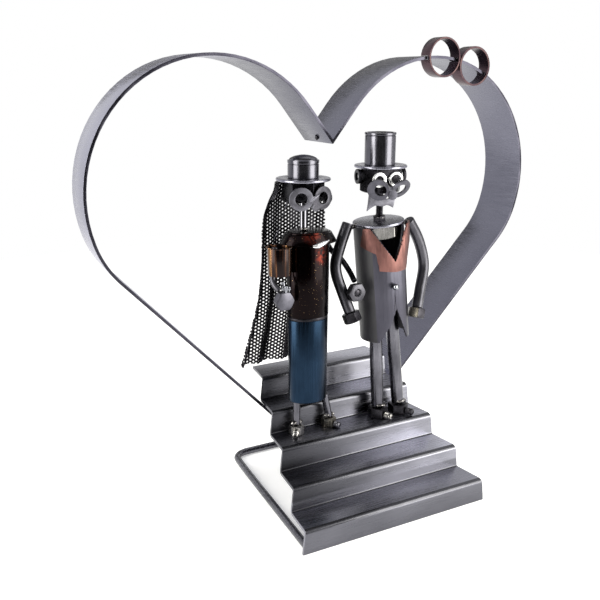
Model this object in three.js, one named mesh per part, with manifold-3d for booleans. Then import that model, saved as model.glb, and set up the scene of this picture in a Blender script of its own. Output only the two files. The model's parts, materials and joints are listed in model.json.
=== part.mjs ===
// Wedding couple figurine of welded steel hardware, in millimetres, +Z up, front towards -Y.
// A bride and a groom stand on the third tread of a bent sheet staircase, in front of a heart
// made of flat bar. The origin is on the floor, under the middle of the whole object.
import * as THREE from 'three';
import { mergeVertices } from 'three/addons/utils/BufferGeometryUtils.js';
import Module from 'manifold-3d';

const wasm = await Module();
wasm.setup();

// Staircase: one sheet, folded into risers and treads, narrower towards the top
const stairWidth = 146;
const stairRise = 16.5;
const stairGoing = 24.6;
const topGoing = 24;
const stairSteps = 5;
const sideTaper = 0.115; // half width lost for each millimetre along the folded sheet
const stairSheet = 2;
const bendOutside = 3;
const standingTread = 3; // the couple stands on this tread, counted from the floor

// Floor rod: a U on the floor behind the first riser
const rodDiameter = 5.2;
const rodFrontHalf = 68;
const rodBackHalf = 57.5;
const rodBackBend = 12;
const rodBackSetback = 21.7; // from the end of the top tread to the axis of the cross run

// Heart: two strips of flat bar, welded at the notch and at the tip
const barWidth = 40;
const barThickness = 2;
const heartFrontY = 92;
const heartSlope = THREE.MathUtils.degToRad(46.4);
const heartSideRadius = 67.2;
const heartLobeRadius = 87.4;
const heartSideEnd = THREE.MathUtils.degToRad(-17.5);
const heartNotchSlope = THREE.MathUtils.degToRad(51.6);
const heartNotchRun = 29.06; // straight end of each strip beside the notch
const leftDraw = 0.01; // the left strip is bent a little tighter above the stairs
const leftLean = 0.015; // and leans in towards its back edge

// Two copper pipe rings, slotted and pushed over the front edge of the bar
const ringDiameter = 28;
const ringWall = 1.4;
const ringLength = 13.5;
const ringLead = 3;
const firstRingAngle = THREE.MathUtils.degToRad(87.2);

// Hats and heads
const crownDiameter = 20.7;
const brimDiameter = 35.6;
const brimThickness = 1.8;
const groomCrownHeight = 21.3;
const groomCrownShift = -0.7; // the crown isn't quite in the middle of his brim
const brideCrownHeight = 10.4;
const brideDomeHeight = 4.2;
const groomHeadFlats = 25.6;
const groomHeadHeight = 16.2;
const brideHeadFlats = 24;
const brideHeadHeight = 13;
const neckDiameter = 5;
const groomNeckLength = 35;
const brideNeckLength = 32;
const neckNutFlats = 8;
const neckNutHeight = 3.2;
const eyeDiameter = 10;
const eyeBore = 5.3;
const wideEyeBore = 6.2; // the groom's left eye
const washerThickness = 1;
const lensOuter = 7.4;
const lensInner = 4;
const faceSheet = 1.2;
const noseRadius = 3.2;
const brideLensSpacing = 15.8;
const brideLensWrap = 0.28; // how far each half of her spectacles falls back, per millimetre

// Groom
const groomX = 20;
const groomY = 64;
const groomHeadX = 20.8;
const groomHeadTurn = THREE.MathUtils.degToRad(-11);
const groomTilt = THREE.MathUtils.degToRad(5.5);
const groomHeelFlats = 13;
const groomHeelHeight = 7.5;
const groomLegDiameter = 9.2;
const groomArmDiameter = 7.8;
const shoulderDiscDiameter = 35.6;
const shoulderDiscThickness = 1.8;
const jacketRadius = 17.4;
const jacketSheet = 1.2;
const jacketLength = 82;
const groomShoulderHeight = 146.3; // top of the shoulder disc above the tread
const chestNutFlats = 27;
const chestNutHeight = 9;
const chestNutTurn = THREE.MathUtils.degToRad(-20);
const hipDiscDrop = 43; // below the shoulder disc
const hipDiscThickness = 2;
const collarSheet = 1.2;
const collarFlare = 2.4; // how far the left lapel stands off the jacket at its top
const buttonDiameter = 4.6;
const buttonDrop = 41.3;
const buttonAngle = THREE.MathUtils.degToRad(-4.5); // from the front
const handFlats = 11;
const handHeight = 7;
const handBore = 6;

// Bride
const brideX = -34.2;
const brideY = 65;
const brideHeadX = -37.3;
const brideLegDiameter = 5.2;
const brideArmDiameter = 3.8;
const brideHeelFlats = 9.5;
const brideHeelHeight = 6.5;
const skirtHalfWidth = 14.4;
const skirtHemHalfWidth = 13.8;
const bodyDepthRatio = 0.76; // depth of the oval tubes over their width
const skirtLength = 58.5;
const skirtHemHeight = 26; // above the tread
const bodiceHalfWidth = 14.8;
const bodiceLength = 57.5;
const bodySheet = 1.2;
const bandHemHalfWidth = 20;
const bandHeight = 6.5;
const bandHemDrop = 7.5; // below the top of the bodice
const sleeveTopRadius = 8;
const sleeveHemRadius = 7.6;
const sleeveLength = 18.5;
const bouquetFlats = 11.5;
const bouquetHeight = 5.5;
const flowerRadius = 1.6;
const brideHandFlats = 11.5;
const brideHandHeight = 5;
const brideHandBore = 5;

// Veil: a folded perforated sheet that hangs from the back of the brim
const veilSheet = 1;
const veilPleats = 5;
const veilPleatDepth = 2.2;

// Seats and gaps
const seatGap = 0.3;

const treadHeight = standingTread * stairRise;
const heartBackY = heartFrontY + barWidth;
const stairDepth = (stairSteps - 1) * stairGoing + topGoing;
const rodBackY = stairDepth + rodBackSetback;
const totalDepth = rodBackY + rodDiameter / 2;

function metal(color, roughness, metalness = 1) {
  return new THREE.MeshStandardMaterial({ color, roughness, metalness });
}

const materials = {
  stair: () => metal(0x8a8890, 0.32),
  bar: () => metal(0x8f8f9b, 0.38),
  rod: () => metal(0x77767e, 0.35),
  copper: () => metal(0x8c5a50, 0.35),
  collar: () => metal(0xb0766a, 0.4),
  bright: () => metal(0xc8c8cc, 0.18),
  brushed: () => metal(0x7c7b82, 0.3),
  dark: () => metal(0x2b2a2e, 0.35),
  jacket: () => metal(0x55545a, 0.38),
  lacquer: () => metal(0x2a0d0a, 0.12, 0.6),
  golden: () => metal(0x5a3a18, 0.15, 0.7),
  blued: () => metal(0x24415c, 0.25),
  veil: () => metal(0x3c3b42, 0.35),
};

// Joining and cutting

function solidOf(geometry) {
  const bare = geometry.clone();
  bare.deleteAttribute('normal');
  bare.deleteAttribute('uv');
  const merged = mergeVertices(bare, 1e-4);
  const vertProperties = new Float32Array(merged.attributes.position.array);
  const triVerts = new Uint32Array(merged.index.array);
  return new wasm.Manifold(new wasm.Mesh({ numProp: 3, vertProperties, triVerts }));
}

function geometryOf(solid) {
  const mesh = solid.getMesh();
  const geometry = new THREE.BufferGeometry();
  geometry.setAttribute('position', new THREE.BufferAttribute(mesh.vertProperties, 3));
  geometry.setIndex(new THREE.BufferAttribute(mesh.triVerts, 1));
  geometry.computeVertexNormals();
  return geometry;
}

function cut(body, ...tools) {
  return geometryOf(tools.reduce((rest, tool) => rest.subtract(solidOf(tool)), solidOf(body)));
}

function join(...bodies) {
  const solids = bodies.map(solidOf);
  return geometryOf(solids.slice(1).reduce((sum, solid) => sum.add(solid), solids[0]));
}

function overlap(body, tool) {
  return geometryOf(solidOf(body).intersect(solidOf(tool)));
}

// Basic shapes

function polygonShape(points) {
  return new THREE.Shape(points.map(([x, y]) => new THREE.Vector2(x, y)));
}

function roundShape(radius, sides) {
  const points = [];
  for (let i = 0; i < sides; i += 1) {
    const angle = (i / sides) * 2 * Math.PI;
    points.push([radius * Math.cos(angle), radius * Math.sin(angle)]);
  }
  return polygonShape(points);
}

// Plate with its outline in x and y, from z = 0 up
function plate(shape, thickness) {
  return new THREE.ExtrudeGeometry(shape, { depth: thickness, bevelEnabled: false, steps: 1 });
}

// Plate that stands up, with its outline in x and z and its thickness towards +y
function standingPlate(shape, thickness) {
  return plate(shape, thickness).rotateX(Math.PI / 2).translate(0, thickness, 0);
}

// Solid of revolution about z, from a profile of [radius, height]
function turned(profile, sides = 20) {
  const points = profile.map(([radius, height]) => new THREE.Vector2(radius, height));
  return new THREE.LatheGeometry(points, sides).rotateX(Math.PI / 2);
}

function ringPlate(outer, bore, height, sides = 16) {
  const shape = roundShape(outer, sides);
  shape.holes.push(roundShape(bore, sides));
  return plate(shape, height);
}

function hexShape(flats) {
  const points = [];
  for (let i = 0; i < 6; i += 1) {
    const angle = (i * Math.PI) / 3;
    points.push([(flats / Math.sqrt(3)) * Math.cos(angle), (flats / Math.sqrt(3)) * Math.sin(angle)]);
  }
  return polygonShape(points);
}

// Hexagon nut about z with corners on the x axis
function hexNut(flats, height, bore) {
  const shape = hexShape(flats);
  shape.holes.push(roundShape(bore / 2, 12));
  return plate(shape, height);
}

// Open tube, round or oval, with a wall of even thickness at each end
function tube(bottomRadius, topRadius, height, wall, sides = 28) {
  return turned([
    [bottomRadius - wall, 0],
    [bottomRadius, 0],
    [topRadius, height],
    [topRadius - wall, height],
    [bottomRadius - wall, 0],
  ], sides);
}

// Round bar along a smooth line through the points
function bentBar(points, radius, steps = 16, sides = 10) {
  const path = new THREE.CatmullRomCurve3(points.map((p) => new THREE.Vector3(...p)), false, 'centripetal');
  return new THREE.ExtrudeGeometry(roundShape(radius, sides), { steps, extrudePath: path });
}

function straightBar(from, to, radius, sides = 14) {
  const path = new THREE.LineCurve3(new THREE.Vector3(...from), new THREE.Vector3(...to));
  return new THREE.ExtrudeGeometry(roundShape(radius, sides), { steps: 1, extrudePath: path });
}

// The same closed outline with more points, so that no side spans more than the step in degrees
function spaced(outline, step) {
  return outline.flatMap((point, i) => {
    const next = outline[(i + 1) % outline.length];
    const parts = Math.max(1, Math.ceil(Math.abs(next[0] - point[0]) / step));
    const share = (k) => point.map((value, axis) => value + ((next[axis] - value) * k) / parts);
    return Array.from({ length: parts }, (_, k) => share(k));
  });
}

// Wedge with radial sides about z: an outline of [degrees from the front, height] carried from the
// inner radius to the outer one, to cut a piece out of a rolled sheet
function radialWedge(outline, inner, outer) {
  const flat = spaced(outline, 5).map(([degrees, height]) => new THREE.Vector2(degrees, height));
  if (THREE.ShapeUtils.isClockWise(flat)) {
    flat.reverse();
  }
  const faces = THREE.ShapeUtils.triangulateShape(flat, []);
  const count = flat.length;
  const positions = [];
  for (const radius of [inner, outer]) {
    for (const point of flat) {
      const angle = THREE.MathUtils.degToRad(point.x);
      positions.push(radius * Math.sin(angle), -radius * Math.cos(angle), point.y);
    }
  }
  const index = [];
  for (const [a, b, c] of faces) {
    index.push(c, b, a);
    index.push(count + a, count + b, count + c);
  }
  for (let i = 0; i < count; i += 1) {
    const next = (i + 1) % count;
    index.push(i, next, count + next);
    index.push(i, count + next, count + i);
  }
  const geometry = new THREE.BufferGeometry();
  geometry.setAttribute('position', new THREE.Float32BufferAttribute(positions, 3));
  geometry.setIndex(index);
  return geometry;
}

// Scene

const model = new THREE.Group();

function place(parent, name, geometry, material, position = [0, 0, 0], rotation = [0, 0, 0]) {
  const mesh = new THREE.Mesh(geometry, material());
  mesh.name = name;
  mesh.position.set(...position);
  mesh.rotation.set(...rotation);
  parent.add(mesh);
  return mesh;
}

function placeGroup(parent, position, rotation = [0, 0, 0]) {
  const group = new THREE.Group();
  group.position.set(...position);
  group.rotation.set(...rotation);
  parent.add(group);
  return group;
}

// Staircase

// Half of the sheet's width at a point of its top surface
function stairHalfWidth(y, z) {
  return stairWidth / 2 - sideTaper * (y + z);
}

function arcPoints(centreY, centreZ, radius, from, to, steps = 4) {
  const points = [];
  for (let i = 0; i <= steps; i += 1) {
    const angle = THREE.MathUtils.degToRad(from + ((to - from) * i) / steps);
    points.push([centreY + radius * Math.cos(angle), centreZ + radius * Math.sin(angle)]);
  }
  return points;
}

// Edge of the folded sheet seen from the side, as [y, z], inset from its top surface
function stairEdge(inset) {
  const points = [[inset, 0]];
  for (let step = 0; step < stairSteps; step += 1) {
    const y = step * stairGoing;
    const z = (step + 1) * stairRise;
    points.push(...arcPoints(y + bendOutside, z - bendOutside, bendOutside - inset, 180, 90));
    if (step < stairSteps - 1) {
      const insideBend = bendOutside - stairSheet;
      const backY = y + stairGoing;
      points.push(...arcPoints(backY - insideBend, z + insideBend, insideBend + inset, -90, 0));
    }
  }
  points.push([stairDepth, stairSteps * stairRise - inset]);
  return points;
}

function buildStairs() {
  const outline = [...stairEdge(0), ...stairEdge(stairSheet).reverse()];
  const geometry = plate(polygonShape(outline), stairWidth);
  // the extrusion runs along x, its outline lies in y and z
  geometry.applyMatrix4(new THREE.Matrix4().set(
    0, 0, 1, -stairWidth / 2,
    1, 0, 0, 0,
    0, 1, 0, 0,
    0, 0, 0, 1,
  ));
  const position = geometry.attributes.position;
  for (let i = 0; i < position.count; i += 1) {
    const half = stairHalfWidth(position.getY(i), position.getZ(i));
    position.setX(i, Math.sign(position.getX(i)) * half);
  }
  place(model, 'stair_sheet', geometry, materials.stair);
}

function buildFloorRod() {
  const height = rodDiameter / 2;
  const frontY = stairSheet + seatGap;
  const path = new THREE.CurvePath();
  const side = (sign) => ({
    front: new THREE.Vector3(sign * rodFrontHalf, frontY, height),
    bend: new THREE.Vector3(sign * (rodBackHalf + 1), rodBackY - rodBackBend, height),
    corner: new THREE.Vector3(sign * rodBackHalf, rodBackY, height),
    cross: new THREE.Vector3(sign * (rodBackHalf - rodBackBend), rodBackY, height),
  });
  const left = side(-1);
  const right = side(1);
  path.add(new THREE.LineCurve3(left.front, left.bend));
  path.add(new THREE.QuadraticBezierCurve3(left.bend, left.corner, left.cross));
  path.add(new THREE.LineCurve3(left.cross, right.cross));
  path.add(new THREE.QuadraticBezierCurve3(right.cross, right.corner, right.bend));
  path.add(new THREE.LineCurve3(right.bend, right.front));
  const options = { steps: 72, extrudePath: path };
  const rod = new THREE.ExtrudeGeometry(roundShape(rodDiameter / 2, 8), options);
  place(model, 'floor_rod', rod, materials.rod);
}

// Heart

// The lower runs rest against the lower edge of the fourth tread's sides
const heartSeatZ = (stairSteps - 1) * stairRise - stairSheet;
const heartSeatX = stairHalfWidth(heartFrontY, heartSeatZ);
const heartTipZ = heartSeatZ
  - (barThickness + 1.3 * seatGap + heartSeatX * Math.sin(heartSlope)) / Math.cos(heartSlope);
const heartInward = [-Math.sin(heartSlope), Math.cos(heartSlope)];
const heartNotchTurn = heartNotchSlope + Math.PI / 2;
// The straight lower run is as long as brings the lobe's end back to the middle
const lobeCentreX = heartNotchRun * Math.sin(heartNotchTurn) - heartLobeRadius * Math.cos(heartNotchTurn);
const sideCentreX = lobeCentreX + (heartLobeRadius - heartSideRadius) * Math.cos(heartSideEnd);
const heartLowerRun = (sideCentreX - heartSideRadius * heartInward[0]) / Math.cos(heartSlope);
const sideCentre = [
  sideCentreX,
  heartTipZ + heartLowerRun * Math.sin(heartSlope) + heartSideRadius * heartInward[1],
];
const lobeCentre = [
  lobeCentreX,
  sideCentre[1] + (heartSideRadius - heartLobeRadius) * Math.sin(heartSideEnd),
];

function arcAbout(centre, radius, from, to, steps) {
  const points = [];
  for (let i = 0; i <= steps; i += 1) {
    const angle = from + ((to - from) * i) / steps;
    points.push([centre[0] + radius * Math.cos(angle), centre[1] + radius * Math.sin(angle)]);
  }
  return points;
}

// One edge of the right strip from tip to notch, as [x, z], inset from the outer surface
function heartEdge(inset, middle) {
  const along = (middle + inset * Math.sin(heartSlope)) / Math.cos(heartSlope);
  const start = [middle, heartTipZ + along * Math.sin(heartSlope) + inset * Math.cos(heartSlope)];
  const side = arcAbout(sideCentre, heartSideRadius - inset, heartSlope - Math.PI / 2, heartSideEnd, 14);
  const lobe = arcAbout(lobeCentre, heartLobeRadius - inset, heartSideEnd, heartNotchTurn, 34);
  const last = lobe[lobe.length - 1];
  const run = (last[0] - middle) / Math.sin(heartNotchTurn);
  const end = [middle, last[1] + run * Math.cos(heartNotchTurn)];
  return [start, ...side, ...lobe.slice(1), end];
}

function buildHeart() {
  const middle = seatGap / 2;
  const outline = [...heartEdge(0, middle), ...heartEdge(barThickness, middle).reverse()];
  const sides = { right: outline, left: outline.map(([x, z]) => [-x, z]).reverse() };
  for (const [side, points] of Object.entries(sides)) {
    const geometry = standingPlate(polygonShape(points), barWidth);
    if (side === 'left') {
      const position = geometry.attributes.position;
      for (let i = 0; i < position.count; i += 1) {
        const drawn = leftDraw + (leftLean * position.getY(i)) / barWidth;
        const height = THREE.MathUtils.smoothstep(position.getZ(i), treadHeight + 30, treadHeight + 110);
        position.setX(i, position.getX(i) * (1 - drawn * height));
      }
      geometry.computeVertexNormals();
    }
    place(model, `heart_strip_${side}`, geometry, materials.bar, [0, heartFrontY, 0]);
  }
}

function buildRings() {
  const middleRadius = heartLobeRadius - barThickness / 2;
  const pitch = 2 * Math.asin((ringDiameter + seatGap) / 2 / middleRadius);
  const slotHalf = THREE.MathUtils.degToRad(14);
  ['ring_left', 'ring_right'].forEach((name, i) => {
    const angle = firstRingAngle - i * pitch;
    const x = lobeCentre[0] + middleRadius * Math.cos(angle);
    const z = lobeCentre[1] + middleRadius * Math.sin(angle);
    const pipe = ringPlate(ringDiameter / 2, ringDiameter / 2 - ringWall, ringLength, 32);
    pipe.rotateX(-Math.PI / 2).translate(x, heartFrontY - ringLead, z);
    const slotBottom = heartLobeRadius - barThickness - seatGap;
    const slot = polygonShape([
      ...arcAbout(lobeCentre, heartLobeRadius + seatGap, angle - slotHalf, angle + slotHalf, 8),
      ...arcAbout(lobeCentre, slotBottom, angle + slotHalf, angle - slotHalf, 8),
    ]);
    const slotTool = standingPlate(slot, ringLength + ringLead);
    slotTool.translate(0, heartFrontY - seatGap, 0);
    place(model, name, cut(pipe, slotTool), materials.copper);
  });
}

// Shoes: a hexagon nut lying under the leg and a round-ended pin as the toe cap
function buildShoe(name, [x, y], { flats, height, toeLength, toeRadius }, yawDegrees) {
  const yaw = THREE.MathUtils.degToRad(yawDegrees);
  const foot = placeGroup(model, [x, y, treadHeight], [0, 0, yaw]);
  const heel = hexNut(flats, height, flats / 2);
  place(foot, `${name}_heel`, heel, materials.dark, [0, 0, seatGap / 2]);
  const toe = turned([
    [0, 0],
    [toeRadius, 0],
    [toeRadius, toeLength - toeRadius],
    [toeRadius * 0.8, toeLength - toeRadius * 0.4],
    [toeRadius * 0.4, toeLength - toeRadius * 0.1],
    [0, toeLength],
  ], 12);
  toe.rotateX(Math.PI / 2).translate(0, -flats / 2 - seatGap, toeRadius + seatGap / 2);
  place(foot, `${name}_toe`, toe, materials.bright);
}

// Spectacles with the nose, seen from the front, its back face on y = 0
function spectacles(spacing, noseX, noseZ) {
  const thickness = faceSheet;
  const disc = (x, z, radius, sides, depth = thickness, start = 0) => {
    const shape = roundShape(radius, sides);
    return standingPlate(shape, depth).translate(x, start - thickness, z);
  };
  const bridge = polygonShape([
    [-spacing / 2, -1.6],
    [spacing / 2, -1.6],
    [spacing / 2, 1.6],
    [-spacing / 2, 1.6],
  ]);
  const stem = polygonShape([
    [-2, 0],
    [noseX - 2, noseZ],
    [noseX + 2, noseZ],
    [2, 0],
  ]);
  const body = join(
    disc(-spacing / 2, 0, lensOuter, 24),
    disc(spacing / 2, 0, lensOuter, 24),
    disc(noseX, noseZ, noseRadius, 18),
    standingPlate(bridge, thickness).translate(0, -thickness, 0),
    standingPlate(stem, thickness).translate(0, -thickness, 0),
  );
  const bore = (x) => disc(x, 0, lensInner, 18, 3 * thickness, -thickness);
  return cut(body, bore(-spacing / 2), bore(spacing / 2));
}

// Ring of a lens that faces the front until it is turned and leaned, in degrees, about its middle
function facedLens([x, y, z], turn, lean, boreShift) {
  const ring = roundShape(lensOuter, 24);
  const bore = roundShape(lensInner, 18).getPoints();
  ring.holes.push(new THREE.Path(bore.map((point) => new THREE.Vector2(point.x + boreShift, point.y))));
  return standingPlate(ring, faceSheet)
    .translate(0, -faceSheet / 2, 0)
    .rotateX(THREE.MathUtils.degToRad(lean))
    .rotateZ(THREE.MathUtils.degToRad(turn))
    .translate(x, y, z);
}

// Groom

// His spectacles are bent at the bridge and lean forward, the left lens more than the right one
function groomSpectacles(front) {
  const bridgeY = front - 6.3;
  const bridge = polygonShape([[-2.5, -14.6], [1.9, -14.6], [1.9, -11.2], [-2.5, -11.2]]);
  const stem = polygonShape([[-2, -13], [-0.9, -16.4], [2.9, -16.4], [1.6, -13]]);
  const nose = standingPlate(roundShape(noseRadius, 18), faceSheet);
  return join(
    facedLens([-7.56, front - 2.47, -13.2], -29, 17, 1.5),
    facedLens([7.47, front - 3.6, -12.7], 15.8, 35.3, 0),
    standingPlate(bridge, faceSheet).translate(0, bridgeY, 0),
    standingPlate(stem, faceSheet).translate(0, bridgeY - 0.3, 0),
    nose.translate(1, bridgeY - 0.5, -16.3),
  );
}

function buildGroomHead(shoulderZ) {
  // the group's origin is in the middle of the brim's underside
  const brimZ = shoulderZ + groomNeckLength + 3 * seatGap;
  const head = placeGroup(model, [groomHeadX, groomY, brimZ], [0, 0, groomHeadTurn]);
  place(head, 'groom_neck_bolt', turned([
    [0, 0],
    [neckDiameter / 2, 0],
    [neckDiameter / 2, groomNeckLength],
    [0, groomNeckLength],
  ], 14), materials.dark, [0, 0, -groomNeckLength - seatGap]);
  place(head, 'groom_hat_brim', turned([
    [0, 0],
    [brimDiameter / 2, 0],
    [brimDiameter / 2, brimThickness],
    [0, brimThickness],
  ], 28), materials.brushed);
  place(head, 'groom_hat_crown', turned([
    [0, 0],
    [crownDiameter / 2, 0],
    [crownDiameter / 2, groomCrownHeight - 1.6],
    [crownDiameter / 2 + 0.2, groomCrownHeight - 1],
    [crownDiameter / 2 + 0.2, groomCrownHeight],
    [0, groomCrownHeight],
  ], 28), materials.brushed, [groomCrownShift, 0, brimThickness]);
  const nutTop = -groomHeadHeight;
  const bore = groomHeadFlats * 0.6;
  const nut = hexNut(groomHeadFlats, groomHeadHeight, bore);
  place(head, 'groom_head_nut', nut, materials.dark, [0, 0, nutTop]);

  const front = -groomHeadFlats / 2;
  const corner = groomHeadFlats / Math.sqrt(3);
  const eyeZ = -6.8;
  for (const [side, sign] of [['right', -1], ['left', 1]]) {
    const eyeHole = (sign > 0 ? wideEyeBore : eyeBore) / 2;
    const washer = ringPlate(eyeDiameter / 2, eyeHole, washerThickness);
    const spot = [sign * 5.8 - 0.55, front - seatGap, eyeZ];
    place(head, `groom_eye_${side}`, washer, materials.bright, spot, [Math.PI / 2, 0, 0]);
    const earX = sign > 0 ? corner + seatGap : -corner - seatGap - 2;
    const ear = ringPlate(eyeDiameter / 2, eyeBore / 2, 2);
    place(head, `groom_ear_${side}`, ear, materials.dark, [earX, 0, -5.6], [0, Math.PI / 2, 0]);
  }
  place(head, 'groom_spectacles', groomSpectacles(front), materials.brushed);

  const moustache = polygonShape([
    [-9.4, -17.4], [-5.6, -18.2], [-2.6, -20.9], [4.4, -20.9], [8, -19.2], [9.5, -21.5],
    [9.2, -23.6], [8.4, -27.3], [6.2, -26], [3.6, -25.2], [0.6, -26.2], [-4.8, -25.3],
    [-8, -26.8], [-10.8, -28.9], [-10.1, -24.6],
  ]);
  const moustacheY = -neckDiameter / 2 - seatGap - faceSheet;
  const moustachePlate = standingPlate(moustache, faceSheet);
  place(head, 'groom_moustache', moustachePlate, materials.brushed, [0, moustacheY, 0]);
}

// Outlines on the rolled sheet: [degrees from the front, height below the shoulder disc]
const neckOpening = [
  [-54, 4], [-51, 0], [-39.3, -5.1], [-26.5, -11.2], [-13.6, -17.4], [0.8, -24.1],
  [12.4, -17.4], [25.8, -11.1], [34.2, -4.5], [41, 0], [43, 4],
];
const coatCutaway = [
  [-5.5, -45], [1.8, -59], [13, -67.8], [23.5, -75.9], [33.5, -81.6], [40, -90], [-44, -90],
  [-44, -81], [-33.5, -77.6], [-30.6, -75.3], [-16.2, -69.6], [-9.9, -65.3], [-0.6, -58.6],
];
const collarHalves = [
  [
    [-66, 0], [-76.6, -12.4], [-41.7, -17.4], [-35.9, -29.3], [-1, -31.2],
    [0.8, -24.1], [-13.6, -17.4], [-26.5, -11.2], [-39.3, -5.1], [-51, 0],
  ],
  [
    [0.8, -24.1], [-1, -31.2], [32.5, -31.7], [41.4, -27.1], [54, -19], [62, -10],
    [62, 0], [41, 0], [34.2, -4.5], [25.8, -11.1], [12.4, -17.4],
  ],
];

// The left lapel stands off the jacket, most at its top outer corner
function flareLapel(geometry, top) {
  const position = geometry.attributes.position;
  for (let i = 0; i < position.count; i += 1) {
    const angle = Math.atan2(position.getX(i), -position.getY(i));
    const sideways = THREE.MathUtils.smoothstep(THREE.MathUtils.radToDeg(angle), 20, 50);
    const upwards = THREE.MathUtils.smoothstep(position.getZ(i), top - 27, top - 8);
    const push = collarFlare * sideways * upwards;
    position.setX(i, position.getX(i) + push * Math.sin(angle));
    position.setY(i, position.getY(i) - push * Math.cos(angle));
  }
  geometry.computeVertexNormals();
  return geometry;
}

function buildGroomTorso(torso) {
  place(torso, 'groom_shoulder_disc', turned([
    [0, 0],
    [shoulderDiscDiameter / 2, 0],
    [shoulderDiscDiameter / 2, shoulderDiscThickness],
    [0, shoulderDiscThickness],
  ], 28), materials.brushed, [0, 0, -shoulderDiscThickness]);

  const top = -shoulderDiscThickness;
  const nutBore = chestNutFlats * 0.6;
  const chestNut = hexNut(chestNutFlats, chestNutHeight, nutBore).rotateZ(chestNutTurn);
  place(torso, 'groom_chest_nut', chestNut, materials.bright, [0, 0, top - chestNutHeight]);

  const roll = tube(jacketRadius, jacketRadius, jacketLength, jacketSheet, 36);
  roll.translate(0, 0, top - jacketLength);
  const lower = (outline) => outline.map(([degrees, drop]) => [degrees, top + drop]);
  const reach = [jacketRadius * 0.55, jacketRadius * 2.2];
  const openings = [neckOpening, coatCutaway].map((outline) => radialWedge(lower(outline), ...reach));
  const jacket = cut(roll, ...openings);
  place(torso, 'groom_jacket', jacket, materials.jacket);

  const collarRadius = jacketRadius + seatGap + collarSheet;
  const collarRoll = tube(collarRadius, collarRadius, 36, collarSheet, 36).translate(0, 0, top - 36);
  const halves = join(...collarHalves.map((half) => radialWedge(lower(half), ...reach)));
  const collar = flareLapel(overlap(collarRoll, halves), top);
  place(torso, 'groom_collar', collar, materials.collar);

  const buttonReach = jacketRadius + seatGap / 2 + buttonDiameter / 2;
  const buttonX = buttonReach * Math.sin(buttonAngle);
  const buttonY = -buttonReach * Math.cos(buttonAngle);
  const button = new THREE.SphereGeometry(buttonDiameter / 2, 12, 8);
  place(torso, 'groom_button', button, materials.bright, [buttonX, buttonY, top - buttonDrop]);

  const discRadius = jacketRadius - jacketSheet - seatGap;
  place(torso, 'groom_hip_disc', turned([
    [0, 0],
    [discRadius, 0],
    [discRadius, hipDiscThickness],
    [0, hipDiscThickness],
  ], 24), materials.dark, [0, 0, top - hipDiscDrop]);

  const neckNut = hexNut(neckNutFlats, neckNutHeight, neckDiameter + 2 * seatGap);
  place(torso, 'groom_neck_nut', neckNut, materials.dark, [groomHeadX - groomX + 0.15, 0, 0]);
}

function placeHand(name, wrist, direction, flats, height, bore) {
  // the nut sits on the cut end of the arm, on the arm's own line
  const hand = placeGroup(model, wrist);
  hand.quaternion.setFromUnitVectors(new THREE.Vector3(0, 0, 1), direction.clone().normalize());
  place(hand, name, hexNut(flats, height, bore), materials.dark, [0, 0, seatGap]);
}

function armEnd(points) {
  const last = new THREE.Vector3(...points[points.length - 1]);
  const before = new THREE.Vector3(...points[points.length - 2]);
  return last.clone().sub(before);
}

const groomShoulderZ = treadHeight + groomShoulderHeight;

// Points of each arm from the edge of the shoulder disc, which is turned a little towards the bride
function groomArm(side) {
  const offsets = {
    right: [[-21.4, 4.6, -1.2], [-27.6, 4, -15.7], [-31.8, 3, -30.8], [-29.1, -2, -46.7], [-25.3, -6, -60.4]],
    left: [[21.6, -5.2, -1], [31.6, -4, -15.9], [37.3, -4, -34.8], [33, -6.6, -50.8], [29.2, -9, -63.9]],
  };
  return offsets[side].map(([x, y, z]) => [groomX + x, groomY + y, groomShoulderZ + z]);
}

function buildGroom() {
  const torso = placeGroup(model, [groomX, groomY, groomShoulderZ], [0, -groomTilt, 0]);
  buildGroomTorso(torso);
  buildGroomHead(groomShoulderZ);

  for (const side of ['right', 'left']) {
    const points = groomArm(side);
    const wrist = points[points.length - 1];
    place(model, `groom_arm_${side}`, bentBar(points, groomArmDiameter / 2), materials.brushed);
    placeHand(`groom_hand_${side}`, wrist, armEnd(points), handFlats, handHeight, handBore);
  }

  // legs run up inside the jacket to the hip disc
  const legs = {
    right: { x: groomX + 4.4, y: groomY + 1, yaw: 20 },
    left: { x: groomX + 21.6, y: groomY, yaw: 28 },
  };
  const discDrop = shoulderDiscThickness + hipDiscDrop + seatGap;
  const legFoot = treadHeight + groomHeelHeight + 3 * seatGap;
  for (const [side, leg] of Object.entries(legs)) {
    const sign = side === 'right' ? -1 : 1;
    torso.updateMatrix();
    const top = new THREE.Vector3(sign * 6.2, 0, -discDrop - 0.5).applyMatrix4(torso.matrix);
    const foot = [leg.x, leg.y, legFoot];
    const leaning = straightBar(foot, top.toArray(), groomLegDiameter / 2);
    place(model, `groom_leg_${side}`, leaning, materials.brushed);
    const shoe = { flats: groomHeelFlats, height: groomHeelHeight, toeLength: 6, toeRadius: 2.6 };
    buildShoe(`groom_shoe_${side}`, [leg.x, leg.y - 0.6], shoe, leg.yaw);
  }
}

// Bride

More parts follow.
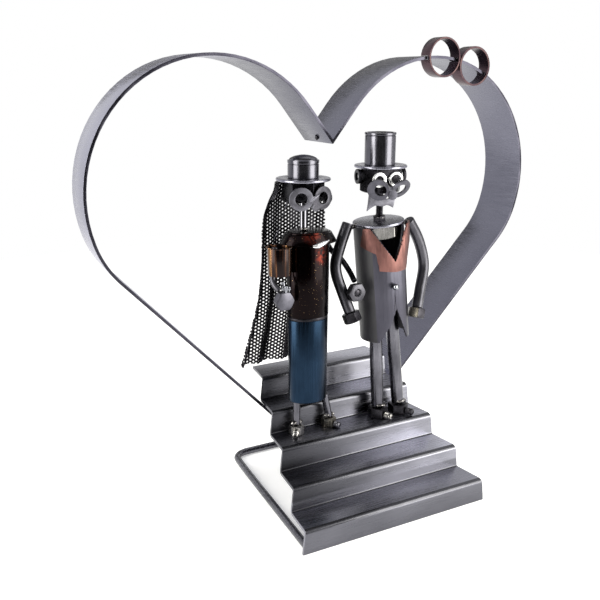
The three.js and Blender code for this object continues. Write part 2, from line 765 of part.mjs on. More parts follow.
function buildBrideHead() {
  const bodiceTop = treadHeight + skirtHemHeight + skirtLength + hipDiscThickness + bodiceLength;
  const brimZ = bodiceTop + brideNeckLength + 2 * seatGap;
  const head = placeGroup(model, [brideHeadX, brideY + 1, brimZ]);
  place(head, 'bride_hat_brim', turned([
    [0, 0],
    [brimDiameter / 2, 0],
    [brimDiameter / 2, brimThickness],
    [0, brimThickness],
  ], 28), materials.brushed);
  const radius = crownDiameter / 2;
  place(head, 'bride_hat_crown', turned([
    [0, 0],
    [radius, 0],
    [radius, brideCrownHeight - 2],
    [radius - 0.5, brideCrownHeight - 1.7],
    [radius - 0.5, brideCrownHeight - 1.3],
    [radius, brideCrownHeight - 1],
    [radius, brideCrownHeight],
    [radius * 0.8, brideCrownHeight + brideDomeHeight * 0.38],
    [radius * 0.45, brideCrownHeight + brideDomeHeight * 0.82],
    [0, brideCrownHeight + brideDomeHeight],
  ], 28), materials.brushed, [0, 0, brimThickness]);
  const nutBore = brideHeadFlats * 0.6;
  // a corner of the nut looks forward, and each eye lies on one of the two front flats
  const nut = hexNut(brideHeadFlats, brideHeadHeight, nutBore).rotateZ(Math.PI / 6);
  place(head, 'bride_head_nut', nut, materials.dark, [0, 0, -brideHeadHeight]);
  const corner = brideHeadFlats / Math.sqrt(3);
  for (const [side, sign] of [['right', -1], ['left', 1]]) {
    const face = placeGroup(head, [0, 0, 0], [0, 0, (sign * Math.PI) / 6]);
    const washer = ringPlate(eyeDiameter / 2, eyeBore / 2, washerThickness);
    const spot = [sign * 0.8, -brideHeadFlats / 2 - seatGap, -7];
    place(face, `bride_eye_${side}`, washer, materials.bright, spot, [Math.PI / 2, 0, 0]);
  }
  const glasses = spectacles(brideLensSpacing, 2, -5);
  const position = glasses.attributes.position;
  for (let i = 0; i < position.count; i += 1) {
    position.setY(i, position.getY(i) + brideLensWrap * Math.abs(position.getX(i)));
  }
  const plateY = -corner - seatGap - 0.8;
  place(head, 'bride_spectacles', glasses, materials.brushed, [-0.8, plateY, -10]);
  place(head, 'bride_neck_bolt', turned([
    [0, 0],
    [neckDiameter / 2, 0],
    [neckDiameter / 2, brideNeckLength],
    [0, brideNeckLength],
  ], 14), materials.bright, [0, 0, -brideNeckLength - seatGap]);
  return brimZ;
}

// Rails of the veil from the brim down, as [x from her head's axis, y from it, drop from the brim]:
// the hanging edges and the line down the middle of the back
const veilRails = {
  right: [
    [16.3, 4, 0.3], [18, 8, 7], [20, 11, 14], [24.6, 13.5, 27],
    [25.6, 15.5, 57], [26.2, 18, 85], [28.5, 21, 130],
  ],
  left: [
    [-16.3, 4, 0.3], [-16, 8, 7], [-18.4, 11, 14], [-21.4, 14, 27],
    [-22.6, 16.5, 57], [-25.4, 19, 85], [-36.8, 22, 130],
  ],
  back: [
    [0, 16.4, 0.3], [0.4, 18.5, 7], [0.7, 20, 14], [1, 22, 27],
    [0, 23.5, 57], [-2, 25, 85], [-5, 27, 130],
  ],
};

function railPoint(name, v, brimZ) {
  const points = veilRails[name].map(([x, y, drop]) => (
    new THREE.Vector3(brideHeadX + x, brideY + 1 + y, brimZ - drop)
  ));
  return new THREE.CatmullRomCurve3(points).getPoint(v);
}

// Point of the veil: u from the right edge to the left one, v from the brim down
function veilPoint(u, v, outward, brimZ) {
  const right = railPoint('right', v, brimZ);
  const left = railPoint('left', v, brimZ);
  const back = railPoint('back', v, brimZ);
  const at = (t) => {
    const edge = right.clone().lerp(left, t);
    const x = (right.x + left.x) / 2 + ((right.x - left.x) / 2) * Math.cos(Math.PI * t);
    const pleat = veilPleatDepth * v * Math.cos(2 * Math.PI * veilPleats * t);
    return [x, edge.y + (back.y - edge.y) * Math.sin(Math.PI * t) + pleat, edge.z];
  };
  const [x, y, z] = at(u);
  const ahead = at(u + 0.01);
  const behind = at(u - 0.01);
  const run = Math.hypot(ahead[0] - behind[0], ahead[1] - behind[1]);
  const normal = [(ahead[1] - behind[1]) / run, (behind[0] - ahead[0]) / run];
  return [x + normal[0] * outward, y + normal[1] * outward, z];
}

function buildVeil(brimZ) {
  const across = 30;
  const down = 9;
  const positions = [];
  const index = [];
  const row = across + 1;
  const layer = row * (down + 1);
  for (const outward of [0, veilSheet]) {
    for (let j = 0; j <= down; j += 1) {
      for (let i = 0; i <= across; i += 1) {
        positions.push(...veilPoint(i / across, j / down, outward, brimZ));
      }
    }
  }
  const quad = (a, b, c, d) => index.push(a, b, c, a, c, d);
  for (let j = 0; j < down; j += 1) {
    for (let i = 0; i < across; i += 1) {
      const a = j * row + i;
      quad(a, a + 1, a + row + 1, a + row);
      quad(layer + a, layer + a + row, layer + a + row + 1, layer + a + 1);
    }
    const left = j * row + across;
    quad(j * row, j * row + row, layer + j * row + row, layer + j * row);
    quad(left, layer + left, layer + left + row, left + row);
  }
  for (let i = 0; i < across; i += 1) {
    const low = down * row + i;
    quad(i, layer + i, layer + i + 1, i + 1);
    quad(low, low + 1, layer + low + 1, layer + low);
  }
  const geometry = new THREE.BufferGeometry();
  geometry.setAttribute('position', new THREE.Float32BufferAttribute(positions, 3));
  geometry.setIndex(index);
  geometry.computeVertexNormals();
  place(model, 'bride_veil', geometry, materials.veil);
}

function ovalTube(bottomHalf, topHalf, height, wall, sides = 32) {
  return tube(bottomHalf, topHalf, height, wall, sides).scale(1, bodyDepthRatio, 1);
}

function ovalPlate(half, thickness, sides = 32) {
  const profile = [[0, 0], [half, 0], [half, thickness], [0, thickness]];
  return turned(profile, sides).scale(1, bodyDepthRatio, 1);
}

function buildBrideBody() {
  const hemZ = treadHeight + skirtHemHeight;
  const hipZ = hemZ + skirtLength;
  const bodiceZ = hipZ + hipDiscThickness;
  const skirt = ovalTube(skirtHemHalfWidth, skirtHalfWidth, skirtLength, bodySheet);
  place(model, 'bride_skirt', skirt, materials.blued, [brideX, brideY, hemZ]);
  const hipDisc = ovalPlate(skirtHalfWidth, hipDiscThickness);
  place(model, 'bride_hip_disc', hipDisc, materials.dark, [brideX, brideY, hipZ]);
  const bodice = turned([
    [bodiceHalfWidth - bodySheet, 0],
    [bodiceHalfWidth, 0],
    [bodiceHalfWidth, bodiceLength - 1],
    [bodiceHalfWidth - 0.6, bodiceLength],
    [0, bodiceLength],
    [0, bodiceLength - bodySheet],
    [bodiceHalfWidth - bodySheet, bodiceLength - bodySheet],
    [bodiceHalfWidth - bodySheet, 0],
  ], 32).scale(1, bodyDepthRatio, 1);
  place(model, 'bride_bodice', bodice, materials.lacquer, [brideX, brideY, bodiceZ]);

  // the band round the shoulders reaches over the top of the sleeve
  const bandZ = bodiceZ + bodiceLength - bandHemDrop;
  const bandTopHalfWidth = bodiceHalfWidth + seatGap + bodySheet;
  const band = ovalTube(bandHemHalfWidth, bandTopHalfWidth, bandHeight, bodySheet);
  place(model, 'bride_shoulder_band', band, materials.lacquer, [brideX, brideY, bandZ]);
  const sleeveX = brideX - 23.7;
  const sleeveY = brideY - 5;
  const sleeveTop = bandZ - seatGap;
  const sleeve = tube(sleeveHemRadius, sleeveTopRadius, sleeveLength, 1, 24);
  place(model, 'bride_sleeve', sleeve, materials.golden, [sleeveX, sleeveY, sleeveTop - sleeveLength]);
  return { sleeveX, sleeveY, sleeveTop };
}

function buildBrideArms({ sleeveX, sleeveY, sleeveTop }) {
  const radius = brideArmDiameter / 2;
  const rightArm = [
    [sleeveX - 2.7, sleeveY + 1, sleeveTop - 0.5],
    [sleeveX - 3.7, sleeveY + 1, sleeveTop - 9],
    [sleeveX - 4.3, sleeveY + 1, sleeveTop - 16.5],
    [sleeveX - 5, sleeveY, sleeveTop - 22],
    [sleeveX - 4.2, sleeveY - 3, sleeveTop - 25.4],
    [sleeveX - 2.8, sleeveY - 5, sleeveTop - 27.2],
  ];
  place(model, 'bride_arm_right', bentBar(rightArm, radius, 14, 8), materials.brushed);
  // the right hand is a nut with its bore towards the front, and it holds three cap nuts as flowers
  const wrist = rightArm[rightArm.length - 1];
  const handZ = wrist[2] - bouquetFlats / 2 - seatGap - 1.5;
  const handX = wrist[0] + 3.3;
  const nut = standingPlate(hexShape(bouquetFlats), bouquetHeight).translate(0, -bouquetHeight / 2, 0);
  place(model, 'bride_hand_right', nut, materials.brushed, [handX, wrist[1], handZ]);
  const flowerSpots = [[0.5, -2.2, 3.6], [3.6, 0, 2.4], [0.4, 2.1, 5.6]];
  flowerSpots.forEach(([dx, dy, stem], i) => {
    const flower = turned([
      [0, 0],
      [flowerRadius, 0],
      [flowerRadius, stem],
      [flowerRadius * 0.75, stem + flowerRadius * 0.6],
      [0, stem + flowerRadius],
    ], 10);
    const spot = [handX + dx, wrist[1] + dy, handZ + bouquetFlats / 2 + seatGap / 2];
    place(model, `bride_flower_${i + 1}`, flower, materials.bright, spot);
  });

  // the left arm passes behind the groom's right arm and ends beside his wrist
  const groomWrist = groomArm('right').pop();
  const shoulder = [brideX + 14.2, brideY + 5.5, sleeveTop - 2.5];
  const end = [groomWrist[0] + 2.2, groomWrist[1] - 1.6, groomWrist[2] + 21.9];
  // share of the way across, distance behind the straight line and share of the way down
  const bends = [
    [0, 0, 0], [0.327, 7.9, 0.1], [0.678, 15.5, 0.352],
    [0.889, 14.3, 0.496], [1.053, 9.6, 0.784], [1, 0, 1],
  ];
  const leftArm = bends.map(([across, behind, down]) => [
    shoulder[0] + (end[0] - shoulder[0]) * across,
    shoulder[1] + (end[1] - shoulder[1]) * across + behind,
    shoulder[2] + (end[2] - shoulder[2]) * down,
  ]);
  place(model, 'bride_arm_left', bentBar(leftArm, radius, 18, 8), materials.dark);
  const hand = hexNut(brideHandFlats, brideHandHeight, brideHandBore);
  hand.translate(0, 0, -brideHandHeight / 2).rotateX(Math.PI / 2);
  const palmZ = end[2] - brideHandFlats / 2 - 5 * seatGap;
  place(model, 'bride_hand_left', hand, materials.dark, [end[0] - 0.3, end[1] - 2.8, palmZ]);
}

function buildBride() {
  const brimZ = buildBrideHead();
  buildVeil(brimZ);
  buildBrideArms(buildBrideBody());
  // the right leg runs up to the hip disc, the left one ends under the edge of the hem
  const hemZ = treadHeight + skirtHemHeight;
  const hipZ = hemZ + skirtLength;
  const legGap = hemZ - 3 * seatGap;
  const legs = {
    right: { x: brideX - 8, y: brideY + 1.5, yaw: -34, top: [brideX - 7.4, brideY + 1.5, hipZ - seatGap] },
    left: { x: brideX + 18.6, y: brideY + 2.6, yaw: 26, top: [brideX + 14.6, brideY + 2, legGap] },
  };
  for (const [side, leg] of Object.entries(legs)) {
    const foot = [leg.x, leg.y, treadHeight + brideHeelHeight + 3 * seatGap];
    const bar = straightBar(foot, leg.top, brideLegDiameter / 2, 12);
    place(model, `bride_leg_${side}`, bar, materials.brushed);
    const shoe = { flats: brideHeelFlats, height: brideHeelHeight, toeLength: 4.6, toeRadius: 2.3 };
    buildShoe(`bride_shoe_${side}`, [leg.x, leg.y], shoe, leg.yaw);
  }
}

// the origin is under the middle of the whole, and the left half of the heart is the narrower one
const heartHalfWidth = lobeCentre[0] + heartLobeRadius;
model.position.set(-(heartHalfWidth * leftDraw) / 2, -totalDepth / 2, 0);

buildStairs();
buildFloorRod();
buildHeart();
buildRings();
buildGroom();
buildBride();

export default model;
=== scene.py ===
import json
import math

import bpy
from mathutils import Matrix, Vector

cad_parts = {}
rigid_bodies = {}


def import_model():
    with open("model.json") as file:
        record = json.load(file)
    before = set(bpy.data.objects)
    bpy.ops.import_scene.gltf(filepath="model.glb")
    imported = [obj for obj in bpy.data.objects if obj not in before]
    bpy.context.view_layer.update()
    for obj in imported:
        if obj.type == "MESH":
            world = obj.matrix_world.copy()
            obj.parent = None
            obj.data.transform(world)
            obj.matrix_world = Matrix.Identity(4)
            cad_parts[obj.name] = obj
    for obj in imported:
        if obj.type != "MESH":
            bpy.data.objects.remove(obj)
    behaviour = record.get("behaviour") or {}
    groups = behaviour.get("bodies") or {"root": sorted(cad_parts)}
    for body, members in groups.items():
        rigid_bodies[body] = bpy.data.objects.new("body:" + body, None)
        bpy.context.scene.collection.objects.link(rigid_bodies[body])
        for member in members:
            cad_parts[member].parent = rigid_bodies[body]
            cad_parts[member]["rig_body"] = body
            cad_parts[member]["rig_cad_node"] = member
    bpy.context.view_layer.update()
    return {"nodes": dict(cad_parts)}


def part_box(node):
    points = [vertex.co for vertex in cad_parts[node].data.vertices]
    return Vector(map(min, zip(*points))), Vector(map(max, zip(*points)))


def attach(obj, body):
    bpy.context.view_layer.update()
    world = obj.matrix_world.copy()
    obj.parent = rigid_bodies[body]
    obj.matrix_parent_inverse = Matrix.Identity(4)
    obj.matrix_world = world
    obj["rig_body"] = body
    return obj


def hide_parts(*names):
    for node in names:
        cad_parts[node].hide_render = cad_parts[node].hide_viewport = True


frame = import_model()
nodes = frame["nodes"]
toMetres = Matrix.Scale(0.001, 4)  # pieces are modelled in millimetres
atOrigin = Matrix()
print("frame loaded:", len(nodes), "nodes")


def enterEdit():
    bpy.ops.object.mode_set(mode="EDIT")


def leaveEdit():
    bpy.ops.object.mode_set(mode="OBJECT")


def deselectAll():
    if bpy.context.object and bpy.context.object.mode != "OBJECT":
        leaveEdit()
    bpy.ops.object.select_all(action="DESELECT")


def takeUp(piece):
    deselectAll()
    piece.select_set(True)
    bpy.context.view_layer.objects.active = piece


# New object from one of Blender's operators that add
def addObject(name, maker, place=(0, 0, 0), **settings):
    deselectAll()
    maker(location=place, **settings)
    piece = bpy.context.object
    piece.name = name
    return piece


def editAll():
    enterEdit()
    bpy.ops.mesh.select_mode(type="VERT")
    bpy.ops.mesh.select_all(action="SELECT")


def applyPlace(piece, matrix):
    takeUp(piece)
    piece.matrix_world = matrix
    bpy.ops.object.transform_apply(location=True, rotation=True, scale=True)


def applyModifier(piece, kind, **settings):
    takeUp(piece)
    modifier = piece.modifiers.new(kind.title(), kind)
    for setting, value in settings.items():
        setattr(modifier, setting, value)
    bpy.ops.object.modifier_apply(modifier=modifier.name)


# Select in edit mode just the points, edges or faces that are wanted
def pick(piece, kind, wanted):
    takeUp(piece)
    enterEdit()
    bpy.ops.mesh.select_mode(type=kind)
    bpy.ops.mesh.select_all(action="DESELECT")
    leaveEdit()
    parts = {"VERT": piece.data.vertices, "EDGE": piece.data.edges, "FACE": piece.data.polygons}
    for part in parts[kind]:
        part.select = wanted(part)
    enterEdit()


def smoothByAngle(piece, degrees=35):
    takeUp(piece)
    bpy.ops.object.shade_smooth_by_angle(angle=math.radians(degrees))


def takeAway(piece, tool, operation="DIFFERENCE"):
    applyModifier(piece, "BOOLEAN", object=tool, operation=operation, solver="EXACT")
    bpy.data.objects.remove(tool)


# Copy of a CAD node in millimetres, with its loose triangles merged
def copyNode(nodeName, pieceName, flatAngle=0.5):
    takeUp(nodes[nodeName])
    bpy.ops.object.duplicate()
    piece = bpy.context.object
    piece.name = pieceName
    piece.parent = None
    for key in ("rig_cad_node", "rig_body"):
        if key in piece:
            del piece[key]
    applyPlace(piece, Matrix.Scale(1000, 4))
    editAll()
    bpy.ops.mesh.customdata_custom_splitnormals_clear()
    bpy.ops.mesh.remove_doubles(threshold=0.002)
    if flatAngle:
        bpy.ops.mesh.dissolve_limited(angle_limit=math.radians(flatAngle))
    else:
        bpy.ops.mesh.tris_convert_to_quads()
    leaveEdit()
    return piece


# Radius and height of an upright round CAD node, in millimetres
def measureUpright(nodeName):
    low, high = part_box(nodeName)
    return (high.x - low.x) * 500, (high.z - low.z) * 1000


sameWay = 0.995  # least cosine between faces that count as parallel
endDepth = 0.05  # points this near an end belong to it, in millimetres


# Centre, axis and size of a turned or hexagon CAD node, in millimetres
def measureRound(nodeName):
    mesh = nodes[nodeName].data
    spots = {tuple(round(c * 1000, 3) for c in v.co) for v in mesh.vertices}
    spots = [Vector(s) for s in spots]
    best, axis = 0, None
    for face in mesh.polygons:
        area = sum(f.area for f in mesh.polygons if abs(f.normal.dot(face.normal)) > sameWay)
        if area > best * 1.001:
            best, axis = area, face.normal.copy()
    ahead = sum(f.area for f in mesh.polygons if f.normal.dot(axis) > sameWay)
    if ahead < best / 2 - 1e-9:
        axis.negate()
    along = [s.dot(axis) for s in spots]
    height = max(along) - min(along)
    base = min(along)
    ends = [s for s in spots if min(s.dot(axis) - base, base + height - s.dot(axis)) < endDepth]
    centre = sum(ends, Vector()) / len(ends)
    centre += axis * (base + height / 2 - centre.dot(axis))
    flat = [(s - centre) - axis * (s - centre).dot(axis) for s in spots]
    far = max(flat, key=lambda f: f.length)
    near = min(f.length for f in flat)
    up = far.normalized()
    side = up.cross(axis)
    place = Matrix((
        (side.x, up.x, axis.x, centre.x),
        (side.y, up.y, axis.y, centre.y),
        (side.z, up.z, axis.z, centre.z),
        (0, 0, 0, 1),
    ))
    return place, far.length, height, near


# Profile of (radius, height) points drawn vertex by vertex and spun about z
def turnProfile(name, profile, steps=64):
    piece = addObject(name, bpy.ops.mesh.primitive_plane_add, size=1)
    editAll()
    bpy.ops.mesh.merge(type="CENTER")
    bpy.ops.transform.translate(value=(profile[0][0], 0, profile[0][1]))
    for (r0, z0), (r1, z1) in zip(profile, profile[1:]):
        bpy.ops.mesh.extrude_vertices_move(TRANSFORM_OT_translate={"value": (r1 - r0, 0, z1 - z0)})
    bpy.ops.mesh.select_all(action="SELECT")
    bpy.ops.mesh.spin(steps=steps, angle=2 * math.pi, center=(0, 0, 0), axis=(0, 0, 1))
    bpy.ops.mesh.select_all(action="SELECT")
    bpy.ops.mesh.remove_doubles(threshold=0.001)
    bpy.ops.mesh.normals_make_consistent(inside=False)
    leaveEdit()
    return piece


# Profile points of a rounded corner, from one direction to the other, in degrees
def roundCorner(r, z, radius, start, end, steps=5):
    points = []
    for i in range(steps + 1):
        angle = math.radians(start + (end - start) * i / steps)
        points.append((r + radius * math.cos(angle), z + radius * math.sin(angle)))
    return points


threadShares = (0.15, 0.45, 0.6)  # of the pitch, where the root ends and the crest starts and ends


def threadProfile(radius, depth, pitch, bottom, top):
    points = []
    count = max(2, int((top - bottom) / pitch))
    step = (top - bottom) / count
    rootEnd, crestStart, crestEnd = (step * share for share in threadShares)
    for i in range(count):
        z = bottom + i * step
        points += [(radius - depth, z), (radius - depth, z + rootEnd)]
        points += [(radius, z + crestStart), (radius, z + crestEnd)]
    points.append((radius - depth, top))
    return points


# Round wire through points in millimetres, with a radius at each of them
def makeRod(name, finish, points, radii, closed=False):
    rod = addObject(name, bpy.ops.curve.primitive_bezier_curve_add)
    spline = rod.data.splines[0]
    spline.bezier_points.add(len(points) - 2)
    for knot, point, radius in zip(spline.bezier_points, points, radii):
        knot.co = point
        knot.radius = radius
        knot.handle_left_type = knot.handle_right_type = "AUTO"
    spline.use_cyclic_u = closed
    rod.data.resolution_u = 6
    rod.data.bevel_depth = 1
    rod.data.bevel_resolution = 3
    rod.data.use_fill_caps = not closed
    bpy.ops.object.convert(target="MESH")
    settle(bpy.context.object, 60, atOrigin, finish)


# Lump of weld metal, uneven all round, in millimetres
def makeLump(name, finish, centre, size, seed):
    lump = addObject(name, bpy.ops.mesh.primitive_ico_sphere_add, subdivisions=3, radius=1)
    editAll()
    bpy.ops.transform.vertex_random(offset=0.22, uniform=0.3, normal=0.6, seed=seed)
    bpy.ops.mesh.vertices_smooth(factor=0.5, repeat=1)
    leaveEdit()
    settle(lump, 60, Matrix.Translation(centre) @ Matrix.Diagonal((*size, 1)), finish)


# Each steel: its slot, its light and its dark tone, its roughness from and to,
# how its grain stretches and how fine it is, its bump, and how fine its clouds are
steels = {
    "stairSteel": ("stair_steel", (0.25, 0.25, 0.292), (0.19, 0.19, 0.222),
        (0.22, 0.34), (0.05, 1, 1), 900, 0.02, 22),
    # the riser and bend steels are darker copies of stairSteel: painted shade on the risers and bends
    "riserShadeSteel": ("stair_steel", (0.138, 0.138, 0.16), (0.105, 0.105, 0.122),
        (0.24, 0.36), (0.05, 1, 1), 900, 0.02, 22),
    "barLeft": ("bar_steel", (0.15, 0.15, 0.188), (0.114, 0.114, 0.145),
        (0.22, 0.36), (1, 0.06, 1), 1100, 0.03, 14),
    # darker copy of the bar steel: painted shade on the strips' front edges
    "barEdgeShade": ("bar_steel", (0.06, 0.058, 0.075), (0.03, 0.029, 0.04),
        (0.22, 0.36), (1, 0.06, 1), 1100, 0.03, 60),
    "jacketShade": ("jacket_steel", (0.036, 0.035, 0.041), (0.024, 0.0235, 0.028),
        (0.4, 0.5), (1, 1, 0.03), 1300, 0.03, 34),
    "bendShadeSteel": ("stair_steel", (0.085, 0.085, 0.096), (0.06, 0.06, 0.068),
        (0.2, 0.32), (0.05, 1, 1), 900, 0.02, 60),
    "shadeSteel": ("brushed_steel", (0.062, 0.061, 0.072), (0.04, 0.039, 0.047),
        (0.34, 0.5), (1, 1, 1), 2200, 0.08, 160),
    "strapSteel": ("veil_steel", (0.2, 0.198, 0.232), (0.05, 0.049, 0.06),
        (0.4, 0.5), (1, 1, 0.2), 1200, 0.1, 380),
    "neckSteel": ("bright_steel", (0.17, 0.169, 0.19), (0.12, 0.119, 0.134),
        (0.06, 0.12), (1, 1, 0.1), 1500, 0.01, 90),
    "rodSteel": ("rod_steel", (0.17, 0.17, 0.19), (0.06, 0.06, 0.07),
        (0.18, 0.32), (1, 1, 1), 700, 0.04, 30),
    "ringCopper": ("copper", (0.09, 0.058, 0.066), (0.04, 0.026, 0.034),
        (0.2, 0.36), (1, 0.08, 1), 1200, 0.04, 70),
    "ringEdge": ("copper", (0.055, 0.034, 0.034), (0.022, 0.014, 0.018),
        (0.22, 0.36), (1, 1, 1), 1200, 0.04, 160),
    "collarCopper": ("collar_copper", (0.235, 0.112, 0.098), (0.13, 0.064, 0.058),
        (0.36, 0.5), (1, 1, 0.12), 1400, 0.05, 90),
    "chromeSteel": ("bright_steel", (0.34, 0.35, 0.385), (0.18, 0.185, 0.21),
        (0.06, 0.14), (1, 1, 1), 900, 0.01, 90),
    "silverSteel": ("bright_steel", (0.36, 0.35, 0.345), (0.16, 0.155, 0.15),
        (0.18, 0.32), (1, 1, 0.15), 1500, 0.04, 120),
    "crownSteel": ("brushed_steel", (0.135, 0.134, 0.156), (0.085, 0.084, 0.099),
        (0.16, 0.26), (1, 1, 0.05), 1500, 0.03, 60),
    "brimSteel": ("brushed_steel", (0.29, 0.288, 0.345), (0.22, 0.219, 0.262),
        (0.2, 0.32), (1, 0.2, 1), 1500, 0.03, 40),
    "brushedSteel": ("brushed_steel", (0.15, 0.148, 0.172), (0.07, 0.069, 0.081),
        (0.18, 0.3), (1, 1, 0.05), 1500, 0.04, 60),
    "armSteel": ("brushed_steel", (0.098, 0.096, 0.11), (0.048, 0.047, 0.055),
        (0.3, 0.42), (1, 1, 0.1), 1500, 0.04, 60),
    "faceSteel": ("brushed_steel", (0.185, 0.183, 0.215), (0.115, 0.113, 0.134),
        (0.36, 0.52), (1, 1, 1), 2200, 0.08, 160),
    "maskSteel": ("brushed_steel", (0.12, 0.118, 0.142), (0.068, 0.067, 0.082),
        (0.34, 0.5), (1, 1, 1), 2200, 0.08, 160),
    "darkSteel": ("dark_steel", (0.05, 0.048, 0.056), (0.011, 0.0105, 0.013),
        (0.22, 0.42), (1, 1, 1), 1800, 0.1, 130),
    # near black: painted shade under the brim, on the bride's head nut and eye washers
    "headShadeSteel": ("dark_steel", (0.026, 0.025, 0.031), (0.008, 0.0077, 0.01),
        (0.2, 0.36), (1, 1, 1), 1800, 0.08, 130),
    "handSteel": ("dark_steel", (0.3, 0.27, 0.215), (0.11, 0.105, 0.098),
        (0.24, 0.4), (1, 1, 1), 1400, 0.08, 130),
    "eyeWhite": ("bright_steel", (0.96, 0.96, 0.96), (0.9, 0.9, 0.9),
        (0.2, 0.28), (1, 1, 1), 900, 0.01, 120),
    "jacketSteel": ("jacket_steel", (0.082, 0.08, 0.101), (0.054, 0.053, 0.068),
        (0.34, 0.46), (1, 1, 0.03), 1300, 0.03, 34),
    "bluedSteel": ("blued_steel", (0.0132, 0.0268, 0.0498), (0.006, 0.0123, 0.0233),
        (0.2, 0.32), (1, 1, 0.03), 1300, 0.02, 40),
    "veilSteel": ("veil_steel", (0.03, 0.029, 0.033), (0.011, 0.0105, 0.013),
        (0.25, 0.42), (1, 1, 1), 1500, 0.05, 60),
    "weldSteel": ("bright_steel", (0.4, 0.385, 0.38), (0.03, 0.027, 0.03),
        (0.12, 0.3), (1, 1, 1), 900, 0.08, 420),
}
steels["barRight"] = steels["barLeft"]
# Painted light and shade: steels made lighter or darker from left to right, as the lamps fall on them: from x,
# to x, tone there and there, above this height alone
paintedLightFades = {
    "stairSteel": (-0.085, 0.085, 0.32, 2.1, 0.024),
    "riserShadeSteel": (-0.08, 0.1, 0.3, 2.0, 0.024),
    "barLeft": (-0.1, -0.06, 2.5, 0.86, -1),
    "barRight": (0.0, 0.07, 1.2, 1.15, -1),
}
# Painted shade: jacketShade is less metallic too, so the jacket's left side stays dark at grazing angles
dullSteels = {"jacketShade": 0.2, "strapSteel": 0.2}  # how metallic they still are
grainShare = 0.45  # of the grain in the tone, beside the clouds
toneStops = (0.55, 0.95)  # where the dark tone ends and the light one starts
grainRange = (0.3, 0.7)  # of the grain, from the smoothest to the roughest place
fadeEdge = 0.002  # metres over which a fade sets in
bumpHeight = 0.0004  # metres, before each steel's share
nodeGap = 200  # down the column of nodes, in the order they are made


def addNode(material, kind, **settings):
    node = material.node_tree.nodes.new("ShaderNode" + kind)
    node.location.y = -nodeGap * len(material.node_tree.nodes)
    for setting, value in settings.items():
        if setting in node.inputs:
            node.inputs[setting].default_value = value
        else:
            setattr(node, setting, value)
    return node


# New material and its shader, with values for some of the shader's inputs
def startMaterial(name, inputs):
    material = bpy.data.materials.new(name)
    material.use_nodes = True
    shader = material.node_tree.nodes["Principled BSDF"]
    for socket, value in inputs.items():
        shader.inputs[socket].default_value = value
    return material, shader


# Link from one node's output to another node's input
def wire(source, output, target, entry):
    source.id_data.links.new(source.outputs[output], target.inputs[entry])


# Roughness that follows a texture's values
def addRoughness(material, shader, texture, *limits):
    spread = addNode(material, "MapRange")
    setRange(spread, *limits)
    wire(texture, "Fac", spread, "Value")
    wire(spread, "Result", shader, "Roughness")


# Bump that follows a texture's values, its height in metres
def addBump(material, shader, texture, entry, strength, height):
    bump = addNode(material, "Bump", Strength=strength, Distance=height)
    wire(texture, "Fac", bump, "Height")
    wire(bump, "Normal", shader, entry)


def setRange(node, *limits):
    for socket, value in zip(("From Min", "From Max", "To Min", "To Max"), limits):
        node.inputs[socket].default_value = value


def rampColours(ramp, stops):
    stops = list(stops)
    while len(ramp.color_ramp.elements) < len(stops):
        ramp.color_ramp.elements.new(0.5)
    for element, (position, colour) in zip(ramp.color_ramp.elements, stops):
        element.position = position
        element.color = (*colour, 1)


# Painted light and shade: tone that changes from left to right, but stays even below the given height
def addPaintedLightFade(material, fade, where, ramp):
    leftX, rightX, leftTone, rightTone, above = fade
    axes = addNode(material, "SeparateXYZ")
    across = addNode(material, "MapRange", interpolation_type="SMOOTHSTEP")
    upward = addNode(material, "MapRange", interpolation_type="SMOOTHSTEP")
    share = addNode(material, "Mix")
    scaled = addNode(material, "VectorMath", operation="SCALE")
    wire(where, "Object", axes, "Vector")
    wire(axes, "X", across, "Value")
    setRange(across, leftX, rightX, leftTone, rightTone)
    wire(axes, "Z", upward, "Value")
    setRange(upward, above - fadeEdge, above, 0, 1)
    wire(upward, "Result", share, "Factor")
    share.inputs["A"].default_value = 1
    wire(across, "Result", share, "B")
    wire(ramp, "Color", scaled, 0)
    wire(share, "Result", scaled, "Scale")
    return scaled, "Vector"


def makeMetal(name, look):
    light, dark, rough, stretch, grainSize, bumpShare, cloudSize = look[1:]
    material, shader = startMaterial(name, {"Metallic": dullSteels.get(name, 1)})
    where = addNode(material, "TexCoord")
    grainMap = addNode(material, "Mapping", Scale=stretch)
    grain = addNode(material, "TexNoise", Scale=grainSize, Detail=3)
    cloud = addNode(material, "TexNoise", Scale=cloudSize, Detail=4)
    tone = addNode(material, "Math", operation="MULTIPLY_ADD")
    ramp = addNode(material, "ValToRGB")
    wire(where, "Object", grainMap, "Vector")
    wire(grainMap, "Vector", grain, "Vector")
    wire(where, "Object", cloud, "Vector")
    wire(grain, "Fac", tone, 0)
    tone.inputs[1].default_value = grainShare
    wire(cloud, "Fac", tone, 2)
    wire(tone, "Value", ramp, "Fac")
    rampColours(ramp, zip(toneStops, (dark, light)))
    if name in paintedLightFades:
        wire(*addPaintedLightFade(material, paintedLightFades[name], where, ramp), shader, "Base Color")
    else:
        wire(ramp, "Color", shader, "Base Color")
    addRoughness(material, shader, grain, *grainRange, *rough)
    addBump(material, shader, grain, "Normal", bumpShare, bumpHeight)
    return material


materials = {name: makeMetal(name, look) for name, look in steels.items()}

# Brown lacquer over steel, with golden specks, and red at two set spots where a lamp is mirrored: a painted
# reflection in the red-tinted lacquer
lacquer = {
    "body": (0.0032, 0.0015, 0.0019), "brown": (0.0040, 0.0017, 0.0018), "red": (0.085, 0.011, 0.0055),
    "gold": (0.36, 0.24, 0.13), "cloudSize": 230, "speckSize": 1500,
    # painted reflection: red at these spots, where a lamp is mirrored in the lacquer
    "redReflectionSpots": [((-0.0394, -0.0211, 0.1932), 0.0075), ((-0.0290, -0.0175, 0.1788), 0.0085)],  # centre, reach
    "brownStops": (0.45, 0.72), "redStops": (0.42, 0.66), "speckStops": (0.715, 0.75),
    "coat": 0.08, "coatRough": 0.05, "rough": (0.12, 0.3), "bump": (0.12, 0.0006),
}


